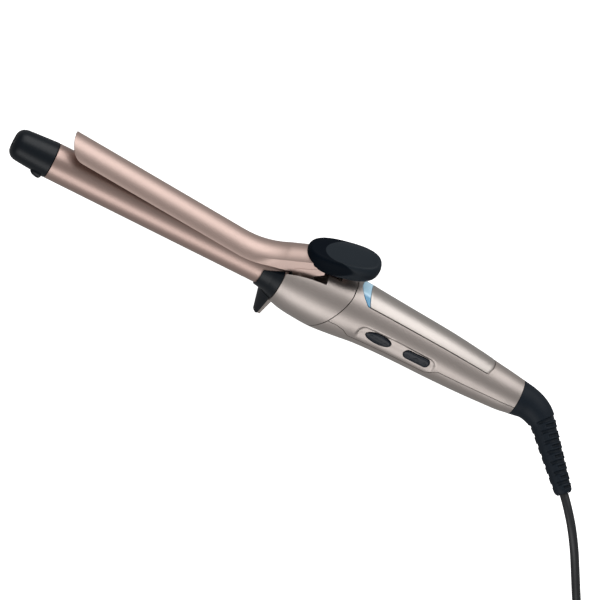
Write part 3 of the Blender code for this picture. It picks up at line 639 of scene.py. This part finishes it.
def cord_path():
    """The cord's middle line from the strain relief through the coil to the plug."""
    tangent = Vector(around_coil(COIL_RADII[-1], COIL_START_ANGLE, COIL_LIFT + CORD_RADIUS))
    half_way = Vector(CORD_ROUTE[-1]).lerp(tangent, 0.5)
    lead_in = through([*CORD_ROUTE, tuple(half_way)], ROUTE_STEPS)
    tail = [Vector(tail_point(along, 0.0, height)) for along, height in TAIL_LEVELS]
    return lead_in + coil_turns() + tail


def build_cord():
    path = cord_path()
    piece = mesh_object("flex", tube(path, CORD_RADIUS, 14), TABLE)
    piece.data.materials.append(MATERIALS["cord_black"])
    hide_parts("cord", "cord_coil", "cord_tail")
    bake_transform(piece)
    build_tie()
    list(build_plug())


def build_tie():
    """A flat band around the turns."""
    inner = COIL_RADII[0] - CORD_RADIUS
    outer = COIL_RADII[-1] + CORD_RADIUS
    low = COIL_LIFT
    high = COIL_LIFT + 2 * CORD_RADIUS + COIL_PITCH
    corners = [(inner, low), (outer, low), (outer, high), (inner, high)]
    centre = ((inner + outer) / 2, (low + high) / 2)
    middle_radius = 33.0

    def loop_at(sweep, margin):
        loop = [(r + math.copysign(margin, r - centre[0]), z + math.copysign(margin, z - centre[1]))
                for r, z in corners]
        angle = TIE_ANGLE + math.degrees(sweep / middle_radius)
        return [around_coil(r, angle, z) for r, z in filleted(loop, 2.4, 6)]

    sweeps = spaced(-TIE_HALF_WIDTH, TIE_HALF_WIDTH, 5)
    loops = [loop_at(sweep, 0.25) for sweep in sweeps] + [loop_at(sweep, 0.8) for sweep in sweeps[::-1]]
    band = mesh_object("cord_band", grid_solid(loops, closed=True), TABLE)
    soften(band, 0.12)
    return dress(band, "handle", "cord_black", "coil_tie", finish="soft_black")


def plug_ring(along, half_width, half_height):
    """A rounded cross-section of the plug."""
    ring = []
    for angle in circle(64):
        across = math.copysign(abs(math.cos(angle)) ** 0.7, math.cos(angle)) * half_width
        up = math.copysign(abs(math.sin(angle)) ** 0.7, math.sin(angle)) * half_height
        ring.append(tail_point(along, across, PLUG_CENTRE_Z + up))
    return ring


def plug_size(along):
    """Half width and half height of the plug, with grip ribs on its neck."""
    spread_out = ramp(along, 49.0, 64.0)
    neck = ramp(along, PLUG_START, 49.0)
    width = 4.2 + 1.0 * neck + 12.1 * spread_out
    height = 4.2 + 0.8 * neck + 1.8 * spread_out
    wave = max(math.cos(2 * math.pi * (along - PLUG_START) / 3.2), 0.0)
    rib = 0.45 * wave * (1 - ramp(along, 45.0, 49.0))
    edge = 0.9 * ramp(along, 76.9, 78.4)
    return width - rib - edge, height - rib - edge


PRONG_PROFILE = ((78.55, 2.0), (88.0, 2.0), (88.3, 1.85), (94.6, 1.85), (96.2, 1.5), (97.0, 0.8))


def build_plug():
    rings = [plug_ring(along, *plug_size(along)) for along in spaced(PLUG_START, PLUG_STOP, 86)]
    body = mesh_object("plug", grid_solid(rings), TABLE)
    pieces = [dress(body, "handle", "cord_black", "plug_body", finish="soft_black")]
    for name, side, node in (
        ("plug_prong_a", PRONG_SIDE, "plug_pin_live"),
        ("plug_prong_b", -PRONG_SIDE, "plug_pin_neutral"),
    ):
        rings = []
        for along, radius in PRONG_PROFILE:
            rings.append([
                tail_point(along, side + radius * math.cos(a), PLUG_CENTRE_Z + radius * math.sin(a))
                for a in circle(32)
            ])
        prong = mesh_object(name, grid_solid(rings), TABLE)
        pieces.append(dress(prong, "handle", "brass", node))
    return pieces


build_cord()


# ---- barrel and tip ----

def build_barrel():
    inner = BARREL_RADIUS - BARREL_WALL
    start = TIP_CAP_LENGTH + GAP
    barrel = mesh_object("heated_barrel", turned([
        (start, inner), (start, BARREL_RADIUS), (BARREL_END, BARREL_RADIUS), (BARREL_END, inner),
    ], 128))
    dress(barrel, "handle", "rose_gold_barrel", "barrel_tube")

    cap = mesh_object("cool_tip", turned(filleted([
        (1.9, 2.0), (1.9, 3.8), (0.4, 4.3), (0.0, 5.4), (1.0, 7.4), (2.6, 8.8), (5.0, 9.6), (9.0, 9.95),
        (TIP_CAP_LENGTH, 11.1), (TIP_CAP_LENGTH, 9.7), (33.0, 9.7), (33.0, 7.5), (5.0, 7.5),
        (4.0, 2.0),
    ], 1.0), 96, fillet=0.0))
    combine(cap, "UNION", tip_nub(-1), tip_nub(1))
    dress(cap, "handle", "black_plastic", "tip_cap")
    screw = mesh_object("tip_fixing", screw_solid((0.55, 3.2, 1.5), 1.6, 42.0))
    dress(screw, "handle", "steel", "tip_screw")


NUB_X = 21.6
NUB_RADIUS = 10.2               # of its middle, from the barrel's axis
NUB_ANGLE = 42.0                # from straight below, to either side
NUB_FRONT = 5.6
NUB_BACK = 1.9


def tip_nub(side):
    """A teardrop rest: a long ramp from the tip and a steep back."""
    nub = bmesh.new()
    bmesh.ops.create_uvsphere(nub, u_segments=32, v_segments=20, radius=1.0)
    for vert in nub.verts:
        vert.co.x *= NUB_FRONT if vert.co.x < 0 else NUB_BACK
        vert.co.y *= 2.7
        vert.co.z *= 2.9
    angle = math.radians(NUB_ANGLE) * side
    turn = Matrix.Rotation(angle, 4, "X")
    place = Matrix.Translation((NUB_X, NUB_RADIUS * math.sin(angle), -NUB_RADIUS * math.cos(angle)))
    bmesh.ops.transform(nub, matrix=place @ turn, verts=nub.verts)
    return tool_shape(nub)


def screw_solid(head, shank, stop):
    """A screw along X with a domed, cross-cut head; head is (start, radius, thickness)."""
    start, radius, thick = head
    dome = [(start + thick * 0.45 * (1 - math.cos(math.radians(a))), radius * math.sin(math.radians(a)))
            for a in (12, 30, 50, 70, 90)]
    profile = [
        (start, 0.0), *dome, (start + thick, radius), (start + thick, shank), (stop - 0.8, shank),
        (stop, shank * 0.5), (stop, 0.0),
    ]
    bm = turned(profile, 48)
    for vert in bm.verts:
        near = vert.co.x < start + thick * 0.46 and math.hypot(vert.co.y, vert.co.z) < radius * 0.55
        if near and min(abs(vert.co.y), abs(vert.co.z)) < radius * 0.14:
            vert.co.x += thick * 0.5
    return bm


# ---- front housing, collar and stand foot ----

SEAM = ((217.0, 26.0), (217.2, 18.0), (216.3, 13.5), (213.4, 6.5), (209.0, -3.0), (203.7, -12.5),
        (197.0, -22.0), (195.0, -26.0))
FOOT_TOP = -9.0
FOOT_BOTTOM = -29.3
FOOT_LEVELS = (                 # height, x at the front, at its corners and at the back, half width
    (FOOT_TOP, 166.6, 174.7, 178.6, 10.5), (-29.9, 172.5, 174.1, 177.0, 4.0),
)


def body_tube(start, stop, stations, lip=None, segments=128, relief=None):
    """A length of the round body as a tube.

    lip is the radius of the hole left in its rear end; relief is a depth by place, cut into its outside.
    """
    xs = spaced(start, stop, stations)
    outer = []
    for x in xs:
        ring = []
        for angle in circle(segments):
            depth = relief(x, angle) if relief else 0.0
            radius = body_radius(x) - depth
            ring.append((x, radius * math.sin(angle), body_centre(x) + radius * math.cos(angle)))
        outer.append(ring)
    inner_xs = spaced(start, stop, 24)
    if lip:
        inner_xs = [x for x in inner_xs if x < stop - 8.0] + [stop - 7.4]
    inner = [ring_points(x, body_radius(x) - SHELL_WALL, body_centre(x), segments) for x in inner_xs]
    if lip:
        inner += [ring_points(x, lip, REAR_AXIS_Z, segments) for x in (stop - 7.2, stop)]
    return grid_solid(outer + inner[::-1], closed=True)


def beyond_seam(shift):
    """Everything behind the seam, moved by shift along X."""
    line = through([(x + shift, 0.0, z) for x, z in SEAM], 6)
    points = [(360.0, 26.0), *[(p.x, p.z) for p in line], (360.0, -26.0)]
    return tool_shape(prism(points, -30.0, 30.0))


def foot_level(height, inset, shell):
    """One level of the foot in (x, y): a bowed front and a flat back. shell keeps only the front."""
    t = (height - FOOT_LEVELS[0][0]) / (FOOT_LEVELS[1][0] - FOOT_LEVELS[0][0])
    front, corner, rear, half = (a + (b - a) * t for a, b in zip(FOOT_LEVELS[0][1:], FOOT_LEVELS[1][1:]))
    half -= inset * 0.5
    bow = [(front + inset + (corner - front) * u * u, half * u) for u in spaced(-1.0, 1.0, 25)]
    if shell:
        return bow + [(x + shell, y * 0.97) for x, y in bow[::-1]]
    return bow + [(rear, half), (rear, -half)]


def foot_solid(inset=0.0, shell=0.0):
    levels = spaced(FOOT_TOP, FOOT_BOTTOM, 14)
    rings = [[(x, y, z) for x, y in foot_level(z, inset, shell)] for z in levels]
    return tool_shape(grid_solid(rings))


def collar_outer(grow=0.0):
    """The collar's outer line, in (x, radius)."""
    return [(163.6, 12.0 + grow), (166.0, 12.3 + grow), (170.0, 13.0 + grow), (175.6, 15.3 + grow)]


def build_front():
    collar = mesh_object("heat_collar", turned([
        (163.6, 11.3), *collar_outer(), (175.6, 13.3), (180.5, 13.3), (180.5, 11.3),
    ], 128))
    clip_room = [
        (160.0, 3.6), (164.0, 4.6), (175.8, 8.6), (176.2, 4.5), (182.0, 4.5), (182.0, 20.0),
        (160.0, 20.0),
    ]
    combine(collar, "DIFFERENCE", tool_shape(prism(clip_room, -20.0, 20.0)))
    dress(collar, "handle", "black_plastic", "barrel_collar")

    housing = mesh_object("housing", body_tube(175.9, 222.0, 60))
    combine(
        housing, "DIFFERENCE", beyond_seam(0.0),
        tool_shape(box((170, -12.4, 4.0), (199.5, 12.4, 30.0))),
        tool_shape(box((199.0, -6.8, 12.0), (207.5, 6.8, 30.0))),
    )
    collar_room = [(150.0, 0.0), (150.0, 11.8), *collar_outer(GAP)]
    foot = foot_solid(inset=1.5)
    combine(foot, "DIFFERENCE", tool_shape(turned(
        [*collar_room, (175.7, 15.6), (175.7, 14.1), (182.0, 14.1), (182.0, 0.0)]
    )))
    combine(housing, "UNION", foot)
    dress(housing, "handle", "champagne", "front_housing")
    facing = foot_solid(shell=1.1)
    combine(facing, "DIFFERENCE", tool_shape(turned([*collar_room, (175.6, 0.0)])))
    dress(facing, "handle", "black_plastic", "foot_facing")


# ---- handle shells, panel, display and buttons ----

SHELL_JOINT = (                 # (x, z) along the side of the handle, dipping under the buttons
    (180.0, -1.0), (216.5, -1.4), (221.5, -3.0), (225.5, -6.3), (277.0, -6.8), (284.0, -1.9),
    (350.0, -3.6),
)
DISH_START = 229.0
DISH_STOP = 280.6
DISH_HALF_WIDTH = 4.6
DISH_DEPTH = 0.9


def button_dish(x, angle):
    """The shallow dish around the two buttons: a steep upper wall, fading out below."""
    side = angle - 2 * math.pi if angle > math.pi else angle
    height = body_radius(x) * (side + math.pi / 2)
    reach = max(DISH_START + DISH_HALF_WIDTH - x, 0.0, x - DISH_STOP + DISH_HALF_WIDTH)
    distance = math.hypot(reach, max(height, 0.0))
    wall = 1 - ramp(distance, DISH_HALF_WIDTH - 1.0, DISH_HALF_WIDTH + 0.3)
    return DISH_DEPTH * wall * (1 - ramp(-height, 0.5, 6.5))


def shell_side(upper):
    """One side of the joint between the shells."""
    away = 30.0 if upper else -20.0
    shift = SHELL_GAP / 2 if upper else -SHELL_GAP / 2
    line = [(x, z + shift) for x, z in SHELL_JOINT]
    outline = [*line, (SHELL_JOINT[-1][0], away), (SHELL_JOINT[0][0], away)]
    return tool_shape(prism(outline, -30.0, 30.0))


def skin_patch(start, stop, half_angle, out, depth, bow_start, bow_stop, rows=60):
    """A piece of the body's skin about its top; a bow moves the middle of an end along X."""
    rings = []
    for t in spaced(-1.0, 1.0, 49):
        angle = math.radians(half_angle) * t
        xs = spaced(start + bow_start * (1 - t * t), stop + bow_stop * (1 - t * t), rows)
        ring = []
        for offset, line in ((out, xs), (-depth, xs[::-1])):
            for x in line:
                radius = body_radius(x) + offset
                ring.append((x, radius * math.sin(angle), body_centre(x) + radius * math.cos(angle)))
        rings.append(ring)
    return mesh_object("patch", grid_solid(rings))


def build_handle():
    upper = mesh_object("grip_upper", body_tube(
        HANDLE_START, HANDLE_END, 180, lip=7.0, segments=192, relief=button_dish
    ))
    lower = mesh_object("grip_lower", body_tube(HANDLE_START, HANDLE_END, 110, lip=7.0))
    combine(upper, "INTERSECT", beyond_seam(SEAM_WIDTH), shell_side(True))
    combine(lower, "INTERSECT", beyond_seam(SEAM_WIDTH), shell_side(False))
    cuts = [
        skin_patch(PANEL_START - 1.2, PANEL_STOP + GAP, PANEL_HALF_ANGLE + 1.4, 1.0, 1.6,
                   bow_start=LENS_BOW, bow_stop=2.8),
        skin_patch(PANEL_START - 2.6, PANEL_START - 2.0, PANEL_HALF_ANGLE - 6.0, 1.0, 6.0,
                   bow_start=LENS_BOW + 2.6, bow_stop=PANEL_BOW, rows=8),
    ]
    for shape, x, (length, width) in ((oval, POWER_X, POWER_SIZE), (pill, ROCKER_X, ROCKER_SIZE)):
        outline = shape(length + 2 * GAP, width + 2 * GAP)
        cuts.append(tool_shape(prism(moved(outline, x, body_centre(x)), -25.0, -9.0)))
    combine(upper, "DIFFERENCE", *cuts)
    dress(upper, "handle", "champagne", "handle_upper_shell")
    wells = []
    for x in SHELL_SCREWS_X:
        seat = body_centre(x) - body_radius(x) + 1.9
        for width, top in ((6.4, seat), (3.6, -4.0)):
            wells.append(tool_shape(prism(moved(oval(width, width, 32), x, 0.0), -30.0, top, "Z")))
    combine(lower, "DIFFERENCE", *wells)
    dress(lower, "handle", "champagne", "handle_lower_shell")

    panel = skin_patch(PANEL_START, PANEL_STOP, PANEL_HALF_ANGLE, 0.15, 1.2,
                       bow_start=PANEL_BOW, bow_stop=2.6)
    soften(panel, 0.2, angle=60)
    dress(panel, "handle", "champagne_gloss", "top_panel")
    lens = skin_patch(PANEL_START - 0.9, PANEL_START - GAP, PANEL_HALF_ANGLE, 0.1, 1.2,
                      bow_start=LENS_BOW, bow_stop=PANEL_BOW, rows=10)
    soften(lens, 0.12, angle=60)
    dress(lens, "handle", "display_blue", "display_lens", own_axes=True)


def button_solid(outline, x, face, back, crown):
    """A button facing -Y: its outline shrinks and rises to a crowned face."""
    centre = body_centre(x)
    layers = [
        (1.0, back), (1.0, face + 0.55), (0.985, face + 0.2), (0.94, face + 0.02),
        (0.85, face - crown * 0.3), (0.6, face - crown * 0.75), (0.3, face - crown * 0.95),
        (0.08, face - crown),
    ]
    rings = [[(x + u * share, y, centre + v * share) for u, v in outline] for share, y in layers]
    return mesh_object("button", grid_solid(rings))


def raised_mark(outline, x, height, face):
    """A small block that stands out of a button."""
    return tool_shape(prism(moved(outline, x, height), face, face + 1.2))


def build_buttons():
    face = -body_radius(POWER_X) - 0.1
    power = button_solid(oval(*POWER_SIZE), POWER_X, face, -12.4, 0.35)
    centre = body_centre(POWER_X)
    flange = oval(POWER_SIZE[0] + 2.0, POWER_SIZE[1] + 2.0)
    joined = [tool_shape(prism(moved(flange, POWER_X, centre), -13.1, -12.4))]
    for u, v in ((-4.6, 0.7), (-1.6, 0.1), (1.6, -0.2), (4.7, -0.5)):
        joined.append(raised_mark(pill(2.6, 1.5, 8), POWER_X + u, centre + v, face - 0.5))
    combine(power, "UNION", *joined)
    dress(power, "power_button", "button_black", "power_button")

    face = -body_radius(ROCKER_X) - 0.25
    rocker = button_solid(pill(*ROCKER_SIZE), ROCKER_X, face, -12.6, 0.3)
    centre = body_centre(ROCKER_X)
    diamond = [(1.9, 0.0), (0.0, 1.2), (-1.9, 0.0), (0.0, -1.2)]
    dash = pill(2.2, 0.5, 6)
    upright = [(v, u) for u, v in dash]
    marks = [
        raised_mark(diamond, ROCKER_X, centre, face - 0.55),
        raised_mark(dash, ROCKER_X - 5.4, centre, face - 0.4),
        raised_mark(dash, ROCKER_X + 5.4, centre, face - 0.4),
        raised_mark(upright, ROCKER_X + 5.4, centre, face - 0.38),
    ]
    combine(rocker, "UNION", *marks)
    dress(rocker, "temp_rocker", "button_black", "temp_rocker")


# ---- clip and thumb pad ----

def clip_line(x):
    """Height of the clip's arc centre, closed: straight, a bend, then a 29 degree climb."""
    bend_start, bend_radius, climb = 144.4, 55.0, math.radians(29.0)
    bend_end = bend_start + bend_radius * math.sin(climb)
    if x <= bend_start:
        return 0.0
    if x <= bend_end:
        return bend_radius - math.sqrt(bend_radius ** 2 - (x - bend_start) ** 2)
    return bend_radius * (1 - math.cos(climb)) + (x - bend_end) * math.tan(climb)


CLIP_EDGE = (                   # (x, z) of the lower edge of the clip's legs
    (156.0, 3.7), (162.0, 5.5), (168.0, 7.4), (172.0, 8.8), (176.8, 10.6), (181.0, 12.2),
    (187.0, 16.0), (194.0, 20.5),
)


def half_angle_at(x):
    """The clip's half angle at x: an ellipse over its rounded end, then constant."""
    t = min((x - CLIP_TIP + 0.15) / CLIP_ROUND, 1.0)
    return CLIP_HALF_ANGLE * math.sqrt(max(1 - (1 - t) ** 2, 0.0))


def clip_section(x, inset):
    """A line of the clip across the iron at x, from one edge over the top to the other.

    The clip is an arc in front; towards the pivot its two sides turn into upright legs.
    """
    across = 48
    legs = 10
    radius = BARREL_RADIUS + GAP + CLIP_THICKNESS - inset
    centre = clip_line(x)
    slope = clip_line(x + 0.5) - clip_line(x - 0.5)
    stretch = math.sqrt(1 + slope * slope)
    upright = ramp(x, 154.0, 171.0)
    edge = smooth(CLIP_EDGE, x, 1)
    narrow = half_angle_at(x)
    crease = min(CREASE_ANGLE, narrow * 0.7)
    top = [(x, radius * math.sin(math.radians(a)), centre + radius * math.cos(math.radians(a)) * stretch)
           for a in spaced(-crease, crease, across + 1)]
    corner_y = top[-1][1]
    corner_z = top[-1][2]
    leg = []
    for k in range(1, legs + 1):
        t = k / legs
        a = math.radians(crease + (narrow - crease) * t)
        round_y = radius * math.sin(a)
        round_z = centre + radius * math.cos(a) * stretch
        leg.append((x, round_y + (corner_y - round_y) * upright,
                    round_z + (corner_z + (edge - corner_z) * t - round_z) * upright))
    return [(u, -y, z) for u, y, z in leg[::-1]] + top + leg


def on_pad(bm):
    """Moves a shape drawn about the pad's middle, x along the pad, to its tilted place."""
    turn = Matrix.Rotation(math.radians(-PAD_TILT), 4, "Y")
    bmesh.ops.transform(bm, matrix=Matrix.Translation(Vector(PAD_CENTRE)) @ turn, verts=bm.verts)
    return bm


CLIP_EAR = (
    (178.0, 12.4), (180.2, 9.0), (181.6, 7.2), (184.0, 6.2), (186.6, 7.4), (188.0, 10.0),
    (190.4, 16.0), (195.2, 20.4), (194.4, 22.4), (190.0, 21.9), (186.0, 18.6), (180.0, 15.4),
)
PAD_FLANGES = (                 # boxes that carry the pad, in its axes
    ((-16.0, -9.4, -6.2), (-12.4, 9.4, -5.0)), ((-12.8, -6.0, -6.2), (8.0, 6.0, -5.0)),
)
PAD_POCKETS = (                 # boxes cut into the pad around them
    ((-30.0, -10.15, -12.0), (-8.5, 10.15, -4.67)), ((-10.0, -6.3, -12.0), (8.3, 6.3, -4.73)),
)


def build_clip():
    place = IRON @ CLIP_TURN
    xs = [CLIP_TIP + CLIP_ROUND * (t / 12) ** 2 for t in range(12)]
    xs += spaced(CLIP_TIP + CLIP_ROUND, 150.0, 40)[:-1] + spaced(150.0, 188.5, 60)
    rings = [clip_section(x, 0.0) + clip_section(x, CLIP_THICKNESS)[::-1] for x in xs]
    shell = mesh_object("spring_clip", grid_solid(rings), place)
    ear = filleted(CLIP_EAR, 1.5)
    joined = [tool_shape(prism(ear, low, high), place) for low, high in ((-9.48, -8.7), (8.7, 9.48))]
    joined += [tool_shape(on_pad(box(*corners)), place) for corners in PAD_FLANGES]
    combine(shell, "UNION", *joined)
    hole = prism(moved(oval(3.5, 3.5, 32), PIVOT[0], PIVOT[2]), -15.0, 15.0)
    combine(shell, "DIFFERENCE", tool_shape(hole, place))
    dress(shell, "clip", "rose_gold_clip", "clip_shell")

    pad = mesh_object("lever_pad", on_pad(pad_solid()), place)
    arm = [clip_section(x, -GAP) + [(x, 9.0, 5.0), (x, -9.0, 5.0)] for x in spaced(176.0, 188.9, 14)]
    pockets = [tool_shape(grid_solid(arm), place)]
    pockets += [tool_shape(on_pad(box(*corners)), place) for corners in PAD_POCKETS]
    combine(pad, "DIFFERENCE", *pockets)
    dress(pad, "clip", "soft_black", "thumb_pad", finish="pad_rubber", own_axes=True)


PAD_PROFILE = (                 # share of the half size, height; from the dish's middle to below
    (0.02, 3.1), (0.25, 3.12), (0.5, 3.2), (0.68, 3.35), (0.80, 3.6), (0.86, 3.9), (0.895, 3.98),
    (0.925, 3.75), (0.955, 3.2), (0.98, 2.3), (0.995, 1.2), (1.0, 0.1), (0.995, -1.4), (0.98, -3.0),
    (0.955, -4.4), (0.92, -5.6), (0.87, -6.5), (0.8, -7.0), (0.7, -7.2), (0.1, -7.25),
)
PAD_ROUNDNESS = 0.8             # 1 is an ellipse, less is fuller at the corners


def pad_solid():
    """A full oval pad with a dished top, about its own middle."""
    rings = []
    for share, height in PAD_PROFILE:
        ring = []
        for angle in circle(120):
            along = math.copysign(abs(math.cos(angle)) ** PAD_ROUNDNESS, math.cos(angle))
            side = math.copysign(abs(math.sin(angle)) ** PAD_ROUNDNESS, math.sin(angle))
            ring.append(
                (PAD_SHIFT + PAD_LENGTH / 2 * share * along, PAD_WIDTH / 2 * share * side, height)
            )
        rings.append(ring)
    return grid_solid(rings)


def build_spring():
    """A torsion spring on the pivot, one leg in the housing and one under the pad."""
    x, _, z = PIVOT
    radius = 3.1
    length = 9.0
    turns = 5
    steps = 24
    coil = [
        (x + radius * math.cos(2 * math.pi * k / steps), length * k / (turns * steps) - length / 2,
         z + radius * math.sin(2 * math.pi * k / steps))
        for k in range(turns * steps + 1)
    ]
    lower = [(196.5, -4.9, 3.4), (193.0, -4.85, 3.8), (189.5, -4.8, 4.2), (187.6, -4.7, 7.0)]
    upper = [(189.0, 4.9, 12.5), (193.7, 4.95, 16.5), (198.4, 5.0, 20.6)]
    spring = mesh_object("return_spring", tube([*lower, *coil, *upper], 0.5, 10))
    dress(spring, "handle", "steel", "clip_spring")


# ---- strain relief ----

STRAIN_RADII = ((0.0, 11.1), (4.0, 10.5), (9.0, 9.8), (17.0, 9.0), (25.0, 7.8), (40.0, 7.0), (54.0, 6.2),
                (64.0, 5.6), (66.2, 5.0), (STRAIN_LENGTH, 4.0))
RIB_START = 22.6
RIB_STOP = 65.0
RIB_PITCH = 6.35
RIB_DEPTH = 1.2
RIB_SLOTS = (                   # share of a pitch, middle and half width in degrees around, half length
    (0.0, 248.0, 70.0, 0.75), (0.0, 68.0, 70.0, 0.75), (0.5, 236.0, 48.0, 0.5), (0.5, 72.0, 40.0, 0.5),
)


def strain_path(distance):
    """Centre and heading of the strain relief: an elbow, then straight."""
    bend = math.radians(STRAIN_BEND)
    arc = STRAIN_BEND_RADIUS * bend
    turned_off = min(max(distance - STRAIN_LEAD, 0.0), arc)
    heading = turned_off / STRAIN_BEND_RADIUS
    forward = min(distance, STRAIN_LEAD) + STRAIN_BEND_RADIUS * math.sin(heading)
    sideways = STRAIN_BEND_RADIUS * (1 - math.cos(heading))
    straight = max(distance - STRAIN_LEAD - arc, 0.0)
    return forward + straight * math.cos(bend), sideways + straight * math.sin(bend), heading


def slot_depth(distance, angle):
    """Long cross slots on two sides, with shorter ones half way between them."""
    depth = 0.0
    for offset, middle, half_width, half_length in RIB_SLOTS:
        nearest = round((distance - RIB_START) / RIB_PITCH - offset)
        centre = RIB_START + (nearest + offset) * RIB_PITCH
        if nearest < 0 or centre > RIB_STOP:
            continue
        away = abs((math.degrees(angle) - middle + 180.0) % 360.0 - 180.0)
        along = 1 - ramp(abs(distance - centre), half_length, half_length + 0.5)
        depth = max(depth, along * (1 - ramp(away, half_width - 12.0, half_width)))
    return depth * RIB_DEPTH


def strain_ring(distance, radius):
    """One cross-section of the strain relief, square to its path."""
    forward, sideways, heading = strain_path(distance)
    plane = math.radians(STRAIN_PLANE)
    ring = []
    for angle in circle(96):
        reach_out = radius - slot_depth(distance, angle)
        lateral = reach_out * math.cos(angle)
        depth = reach_out * math.sin(angle)
        x = GAP + forward - lateral * math.sin(heading)
        reach = sideways + lateral * math.cos(heading)
        ring.append((x, -reach * math.sin(plane) + depth * math.cos(plane),
                     -reach * math.cos(plane) - depth * math.sin(plane)))
    return ring


def build_strain_relief():
    distances = spaced(0.0, 17.0, 28)[:-1] + spaced(17.0, 64.0, 220)[:-1]
    distances += spaced(64.0, STRAIN_LENGTH, 14)
    rings = [strain_ring(d, smooth(STRAIN_RADII, d, 1)) for d in distances]
    piece = mesh_object("cord_guard", grid_solid(rings), SWIVEL)
    dress(piece, "swivel", "soft_black", "strain_relief")


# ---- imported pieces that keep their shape, mostly inside ----

def dress_packed_nodes():
    """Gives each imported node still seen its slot's material."""
    slots = {part["node"]: part["material_slot"] for part in frame["record"]["subparts"]}
    for name, node in frame["nodes"].items():
        if node.hide_render:
            continue
        node.data.materials.clear()
        node.data.materials.append(MATERIALS[slots[name]])


# ---- floor and light ----

def make_floor():
    """A floor so bright that shadows vanish in it, as in the photograph."""
    bm = bmesh.new()
    bmesh.ops.create_grid(bm, x_segments=1, y_segments=1, size=6000.0)
    floor = mesh_object("floor", bm, TABLE)
    _, shader = new_material("floor_white")
    shader.inputs["Base Color"].default_value = (0.9, 0.9, 0.9, 1)
    shader.inputs["Roughness"].default_value = 0.9
    shader.inputs["Emission Color"].default_value = (1, 1, 1, 1)
    shader.inputs["Emission Strength"].default_value = 0.9
    floor.data.materials.append(MATERIALS["floor_white"])
    floor.visible_glossy = False
    floor.visible_diffuse = False


LIGHT_DISTANCE = 1.4            # metres from the middle of the table


def area_light(name, power, size, angle_from_up):
    """A soft box that faces the iron, at an angle from straight up towards +Y."""
    data = bpy.data.lights.new(name, "AREA")
    data.shape = "RECTANGLE"
    data.size, data.size_y = size
    data.energy = power
    made = bpy.data.objects.new(name, data)
    bpy.context.collection.objects.link(made)
    a = math.radians(angle_from_up)
    made.location = (0.0, math.sin(a) * LIGHT_DISTANCE, math.cos(a) * LIGHT_DISTANCE)
    made.rotation_euler = (-a, 0, 0)


def make_light():
    world = bpy.data.worlds.new("studio")
    bpy.context.scene.world = world
    world.use_nodes = True
    world.node_tree.nodes["Background"].inputs["Color"].default_value = (1, 1, 1, 1)
    world.node_tree.nodes["Background"].inputs["Strength"].default_value = 0.28
    area_light("key", 16.5, (1.8, 1.3), 58.0)
    area_light("fill", 9.5, (1.8, 0.85), -54.0)
    bpy.context.scene.view_settings.view_transform = "Standard"


build_barrel()
build_front()
build_handle()
build_buttons()
build_clip()
build_spring()
build_strain_relief()
dress_packed_nodes()
make_floor()
make_light()
